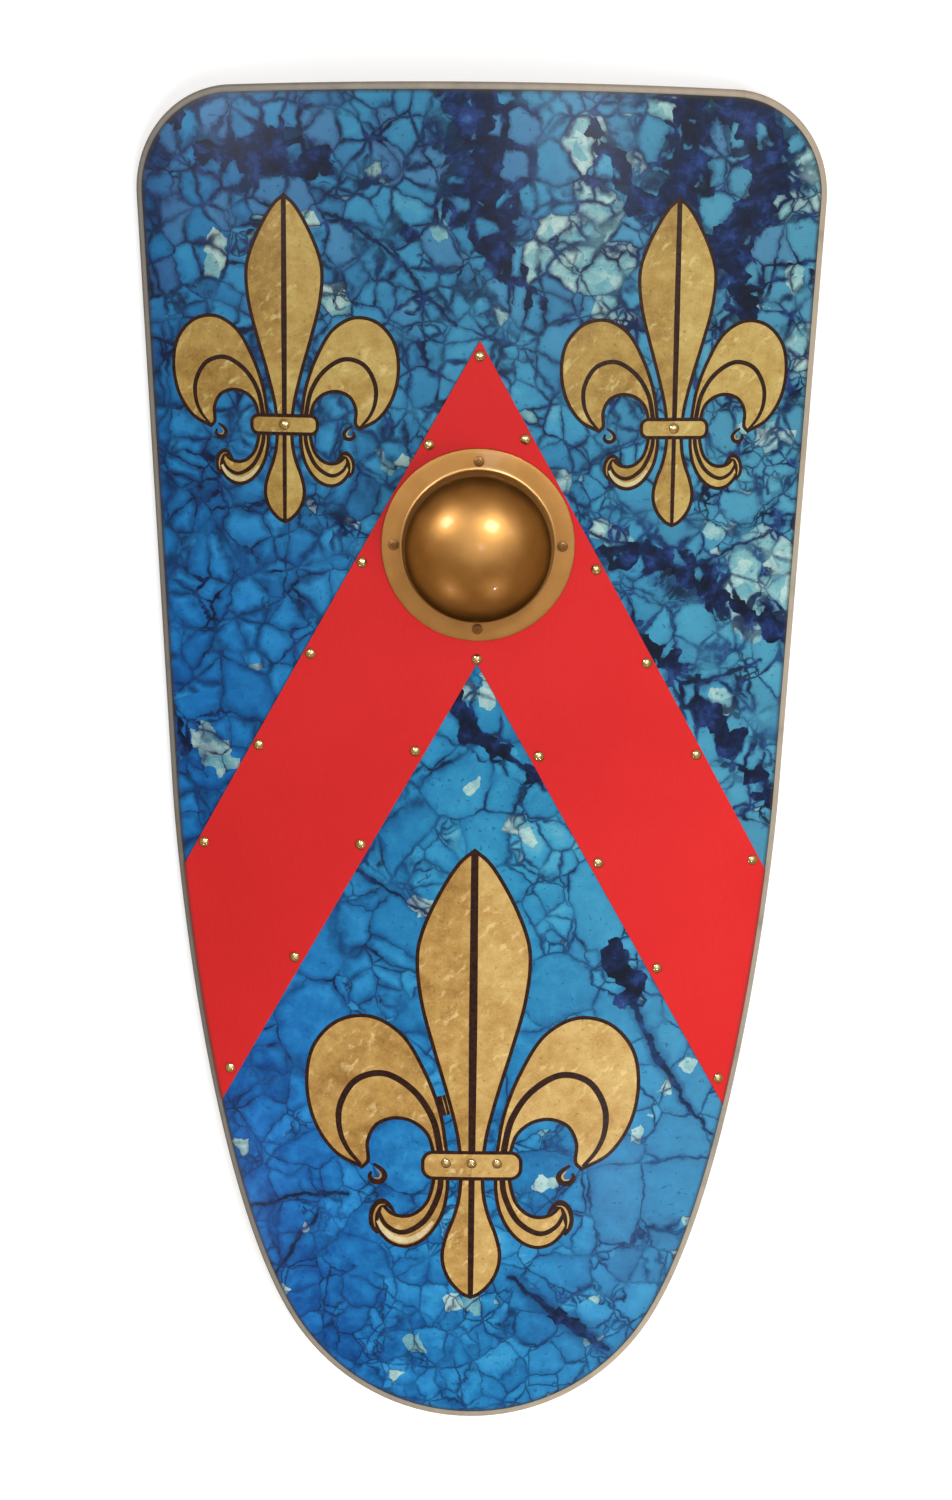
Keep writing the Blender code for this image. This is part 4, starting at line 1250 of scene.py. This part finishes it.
def turned(name, profile, sides):
    """A closed solid turned about its own Z axis, its profile running down the outer side."""
    points = []
    faces = []
    rings = []
    for radius, height in profile:
        if radius == 0.0:
            rings.append([len(points)] * sides)
            points.append((0.0, 0.0, height))
            continue
        rings.append(list(range(len(points), len(points) + sides)))
        for side in range(sides):
            angle = 2 * pi * side / sides
            points.append((radius * cos(angle), radius * sin(angle), height))
    for upper, lower in zip(rings, rings[1:]):
        for i in range(sides):
            j = (i + 1) % sides
            corners = [upper[i], lower[i], lower[j], upper[j]]
            faces.append(list(dict.fromkeys(corners)))
    mesh = bpy.data.meshes.new(name)
    mesh.from_pydata(points, [], faces)
    mesh.shade_smooth()
    return mesh


def dome_line(offset, dome_steps, fillet_steps):
    """The boss from crown to flange: a low dome, a straight neck and a fillet, moved in by offset."""
    reach = DOME_RADIUS - offset
    rise = DOME_RISE - DOME_NECK - offset
    points = []
    for step in range(dome_steps + 1):
        angle = pi / 2 * step / dome_steps
        points.append((reach * sin(angle), DOME_NECK + rise * cos(angle)))
    radius = DOME_FILLET + offset
    for step in range(fillet_steps + 1):
        angle = pi / 2 * (1.0 - step / fillet_steps)
        out = DOME_RADIUS + DOME_FILLET - radius * sin(angle)
        points.append((out, DOME_FILLET - radius * cos(angle)))
    return points


def make_boss():
    """The hollow dome, its flange bent to the board."""
    outside = dome_line(0.0, DOME_STEPS, FILLET_STEPS)
    lining = dome_line(BOSS_WALL, LINING_STEPS, LINING_FILLET_STEPS)[::-1]
    flange = [(FLANGE_RADIUS - inset, 0.0) for inset in FLANGE_RINGS]
    edge = rounded_edge(0.0, -BOSS_WALL, FLANGE_EASE, steps=4)
    rim = [(FLANGE_RADIUS - FLANGE_EASE + out, height) for out, height in edge]
    mesh = turned("boss", outside + flange + rim + lining, BOSS_SIDES)
    for vertex in mesh.vertices:
        x, y, z = vertex.co
        vertex.co = bowed(x, y + BOSS_Y, z + FLANGE_FRONT)
    mesh.set_sharp_from_angle(angle=BOSS_CREASE)
    boss = lay_down("gilt_boss", mesh)
    dress(boss, "boss", "gilt_steel", gilt_paint("gilt_paint", dull=0.0))


def foot_share(u):
    """How much of the grip is foot at u: 0 at the handle, 1 at the feet."""
    foot_start = GRIP_LENGTH / 2 - GRIP_FOOT_LENGTH
    share = min(max((abs(u) - foot_start) / GRIP_HANDLE_WIDTH + 1.0, 0.0), 1.0)
    return share * share * (3.0 - 2.0 * share)


def grip_outline():
    """The grip seen flat, clockwise: a waisted handle between two round-ended feet."""
    end_radius = GRIP_FOOT_WIDTH / 2
    end_u = GRIP_LENGTH / 2 - end_radius
    upper = []
    for step in range(-GRIP_STEPS, GRIP_STEPS + 1):
        u = end_u * step / GRIP_STEPS
        width = GRIP_HANDLE_WIDTH + (GRIP_FOOT_WIDTH - GRIP_HANDLE_WIDTH) * foot_share(u)
        upper.append(Vector((u, width / 2 - GRIP_ROUNDING)))
    right_end = arc(Vector((end_u, 0.0)), end_radius - GRIP_ROUNDING, pi / 2, -pi / 2)[1:-1]
    right_half = upper + right_end
    return right_half + [-point for point in right_half]


def make_grip():
    """A wooden bar: its front fits the board's hollow back, its handle and feet are flat."""
    half = GRIP_HANDLE_THICKNESS / 2
    handle_back = GRIP_FRONT - GRIP_HANDLE_THICKNESS
    foot_back = bowed(GRIP_SCREW_REACH, 0.0, GRIP_FRONT).z - GRIP_FOOT_THICKNESS

    def bent(u, y, w):
        front = bowed(u, y + BOSS_Y, GRIP_FRONT - half + w)
        if w > 0.0:
            return front
        back = handle_back + (foot_back - handle_back) * foot_share(u)
        return Vector((bowed(u, y, GRIP_FRONT).x, y + BOSS_Y, back + half + w))

    edge = rounded_edge(half, -half, GRIP_ROUNDING)
    grip = plate("ash_grip", grip_outline(), [], [], edge, bend=bent)
    dress(grip, "grip", "grip_wood", ash_wood())
    make_grip_screws(foot_back - GAP)


def make_grip_screws(seat):
    """Two screws that stand head down on the feet's backs and end inside the board."""
    length = bowed(GRIP_SCREW_REACH, 0.0, -NAIL_COVER).z - GAP - seat
    shared = crossed(head("screw", length, **GRIP_SCREW_HEAD), **GRIP_SCREW_SLOT)
    material = zinc()
    for side, node in ((-1, "grip_screw_left"), (1, "grip_screw_right")):
        backward = Matrix.Rotation(pi, 4, "Y")
        stand = Matrix.Translation((side * GRIP_SCREW_REACH, BOSS_Y, seat)) @ backward
        place_head("zinc_" + node, shared, stand, node, "zinc_screw", material)


def head(name, length, radius, rise, shank, edge):
    """A domed head over z = 0 and a pointed shank below it.

    Its eased rim takes the share edge of its rise.
    """
    crown = rise * (1.0 - edge)
    sphere = (radius ** 2 + crown ** 2) / (2 * crown)
    turn = asin(radius / sphere)
    profile = []
    for step in range(HEAD_STEPS + 1):
        angle = turn * step / HEAD_STEPS
        profile.append((sphere * sin(angle), rise - sphere * (1.0 - cos(angle))))
    profile += [(radius * out, rise * up) for out, up in HEAD_TUCK]
    profile += [(shank, 0.0), (shank, 2 * shank - length), (0.0, -length)]
    return turned(name, profile, FASTENER_SIDES)


def node_stand(node, seat):
    """Where a node's head stands on the board, from the frame's box of it."""
    low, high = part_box(node)
    spot = REST.inverted() @ ((low + high) / 2)
    u = asin(spot.x / (BOW_RADIUS + seat)) * BOW_RADIUS
    return stand_on_board(Vector((u, spot.y)), seat)


def place_head(name, shared, stand, node, slot, material):
    """A copy of a shared head, where its stand puts it, for its node."""
    mesh = shared.copy()
    mesh.name = name
    mesh.transform(stand)
    dress(lay_down(name, mesh), node, slot, material)


def make_nails():
    """Domed brass nails along the chevron and on the clasps."""
    brass = polished_brass()
    for node in sorted(frame["nodes"]):
        is_nail = node.startswith("chevron_nail")
        if is_nail or node.startswith("fleur_stud"):
            seat = (BAND_FRONT if is_nail else FACING_FRONT) + GAP
            shared = head("nail", seat - BOARD_BACK - NAIL_COVER, **NAIL_HEAD)
            shared.set_sharp_from_angle(angle=NAIL_CREASE)
            place_head("brass_" + node, shared, node_stand(node, seat), node, "brass", brass)


def crossed(mesh, reach, width, depth, top):
    """Cuts a tapered cross into a head's top."""
    shape = bmesh.new()
    for turn in (0.0, pi / 2):
        placing = Matrix.Translation((0, 0, top)) @ Matrix.Rotation(turn, 4, "Z")
        bar = bmesh.ops.create_cube(shape, size=1.0)["verts"]
        for vertex in bar:
            x, y, z = vertex.co
            if z < 0.0:
                x *= SLOT_FLOOR_REACH
                y *= SLOT_FLOOR_WIDTH
            vertex.co = placing @ Vector((x * 2 * reach, y * width, z * 2 * depth))
    cutter_mesh = bpy.data.meshes.new("cross")
    shape.to_mesh(cutter_mesh)
    shape.free()
    cutter = bpy.data.objects.new("cross", cutter_mesh)
    blank = bpy.data.objects.new("head", mesh)
    for piece in (cutter, blank):
        bpy.context.scene.collection.objects.link(piece)
    boolean = blank.modifiers.new("cross", "BOOLEAN")
    boolean.object = cutter
    boolean.use_self = True
    bpy.context.view_layer.update()
    seen = blank.evaluated_get(bpy.context.evaluated_depsgraph_get())
    cut = bpy.data.meshes.new_from_object(seen)
    for piece in (cutter, blank):
        bpy.data.objects.remove(piece, do_unlink=True)
    cut.shade_smooth()
    cut.set_sharp_from_angle(angle=SCREW_CREASE)
    return cut


def make_boss_screws():
    """Four dull gilt screws through the flange."""
    material = gilt_paint("gilt_screw_paint", dull=0.55)
    seat = FLANGE_FRONT + GAP
    shared = head("screw", seat - BOARD_BACK - NAIL_COVER, **BOSS_SCREW_HEAD)
    shared = crossed(shared, **BOSS_SCREW_SLOT)
    for side in ("top", "right", "bottom", "left"):
        node = "boss_screw_" + side
        place_head("gilt_" + node, shared, node_stand(node, seat), node, "gilt_screw", material)


def make_camera():
    """The photograph's view: over the board, from a little above square to it."""
    data = bpy.data.cameras.new("camera")
    data.lens = FOCAL_PIXELS / PHOTO_HEIGHT_PIXELS * data.sensor_width
    camera = bpy.data.objects.new("camera", data)
    bpy.context.scene.collection.objects.link(camera)
    spot = (0.0, VIEW_Y + VIEW_REACH * sin(VIEW_PITCH), VIEW_REACH * cos(VIEW_PITCH))
    turn = Matrix.Rotation(-VIEW_PITCH, 4, "X") @ Matrix.Rotation(VIEW_LEAN, 4, "Z")
    camera.matrix_world = REST @ Matrix.Translation(spot) @ turn
    bpy.context.scene.camera = camera


def make_floor():
    """The studio's plain pale floor."""
    bpy.ops.mesh.primitive_plane_add(size=FLOOR_SIZE)
    floor = bpy.context.object
    floor.name = "floor"
    finish = Finish("pale_floor", Roughness=0.9, Emission_Color=(0.90, 0.95, 1.0),
                    Emission_Strength=0.60)
    tone = finish.noise(finish.place(), 3.0, 3.0)
    finish.set({"Base Color": tone.ramp((0.3, (0.56, 0.565, 0.57)), (0.7, (0.59, 0.595, 0.60)))})
    floor.data.materials.append(finish.material)
    hide_from_boss(floor)


def make_lamp(name, direction, reach, width, power, colour, in_gloss=True):
    """A square lamp that faces the boss: it shows in gloss alone, or lights all but gloss."""
    data = bpy.data.lights.new(name, "AREA")
    data.size = width
    data.energy = power
    data.color = colour
    lamp = bpy.data.objects.new(name, data)
    bpy.context.scene.collection.objects.link(lamp)
    away = Vector(direction).normalized()
    lamp.location = Vector((0.0, BOSS_Y, 0.0)) + away * reach
    lamp.visible_glossy = in_gloss
    lamp.visible_diffuse = not in_gloss
    lamp.rotation_mode = "QUATERNION"
    lamp.rotation_quaternion = (-away).to_track_quat("-Z", "Y")


class Sky(Finish):
    """The world's light as a node tree."""

    def __init__(self):
        world = bpy.data.worlds.new("studio")
        world.use_nodes = True
        bpy.context.scene.world = world
        self.tree = world.node_tree
        self.shader = self.tree.nodes["Background"]


def make_sky():
    """A studio round the shield: a bright ceiling, wide from side to side, and dark walls."""
    sky = Sky()
    direction = sky.add("TexCoord", {}, {}, "Generated")
    aside = sky.stretched(sky.vector("SUBTRACT", direction, SKY_MIDDLE), SKY_NARROWING)
    away = sky.measure("LENGTH", aside)
    glow = (1.0 - away.rise(*SKY_EASING)) * sky.axis(direction, "Z").rise(-0.02, 0.10)
    sky.set({"Color": sky.mix(SKY_DARK, SKY_BRIGHT, glow)})


def make_light():
    """The sky, the lamps that the boss mirrors and one broad lamp that lights the face."""
    make_sky()
    for lamp in LAMPS:
        make_lamp(*lamp, LAMP_COLOUR)
    make_lamp(*FILL_LAMP, FILL_COLOUR, in_gloss=False)
    bpy.context.scene.view_settings.view_transform = "Standard"


make_camera()
make_board()
make_facing()
make_chevron()
make_boss()
make_nails()
make_boss_screws()
make_grip()
make_floor()
make_light()
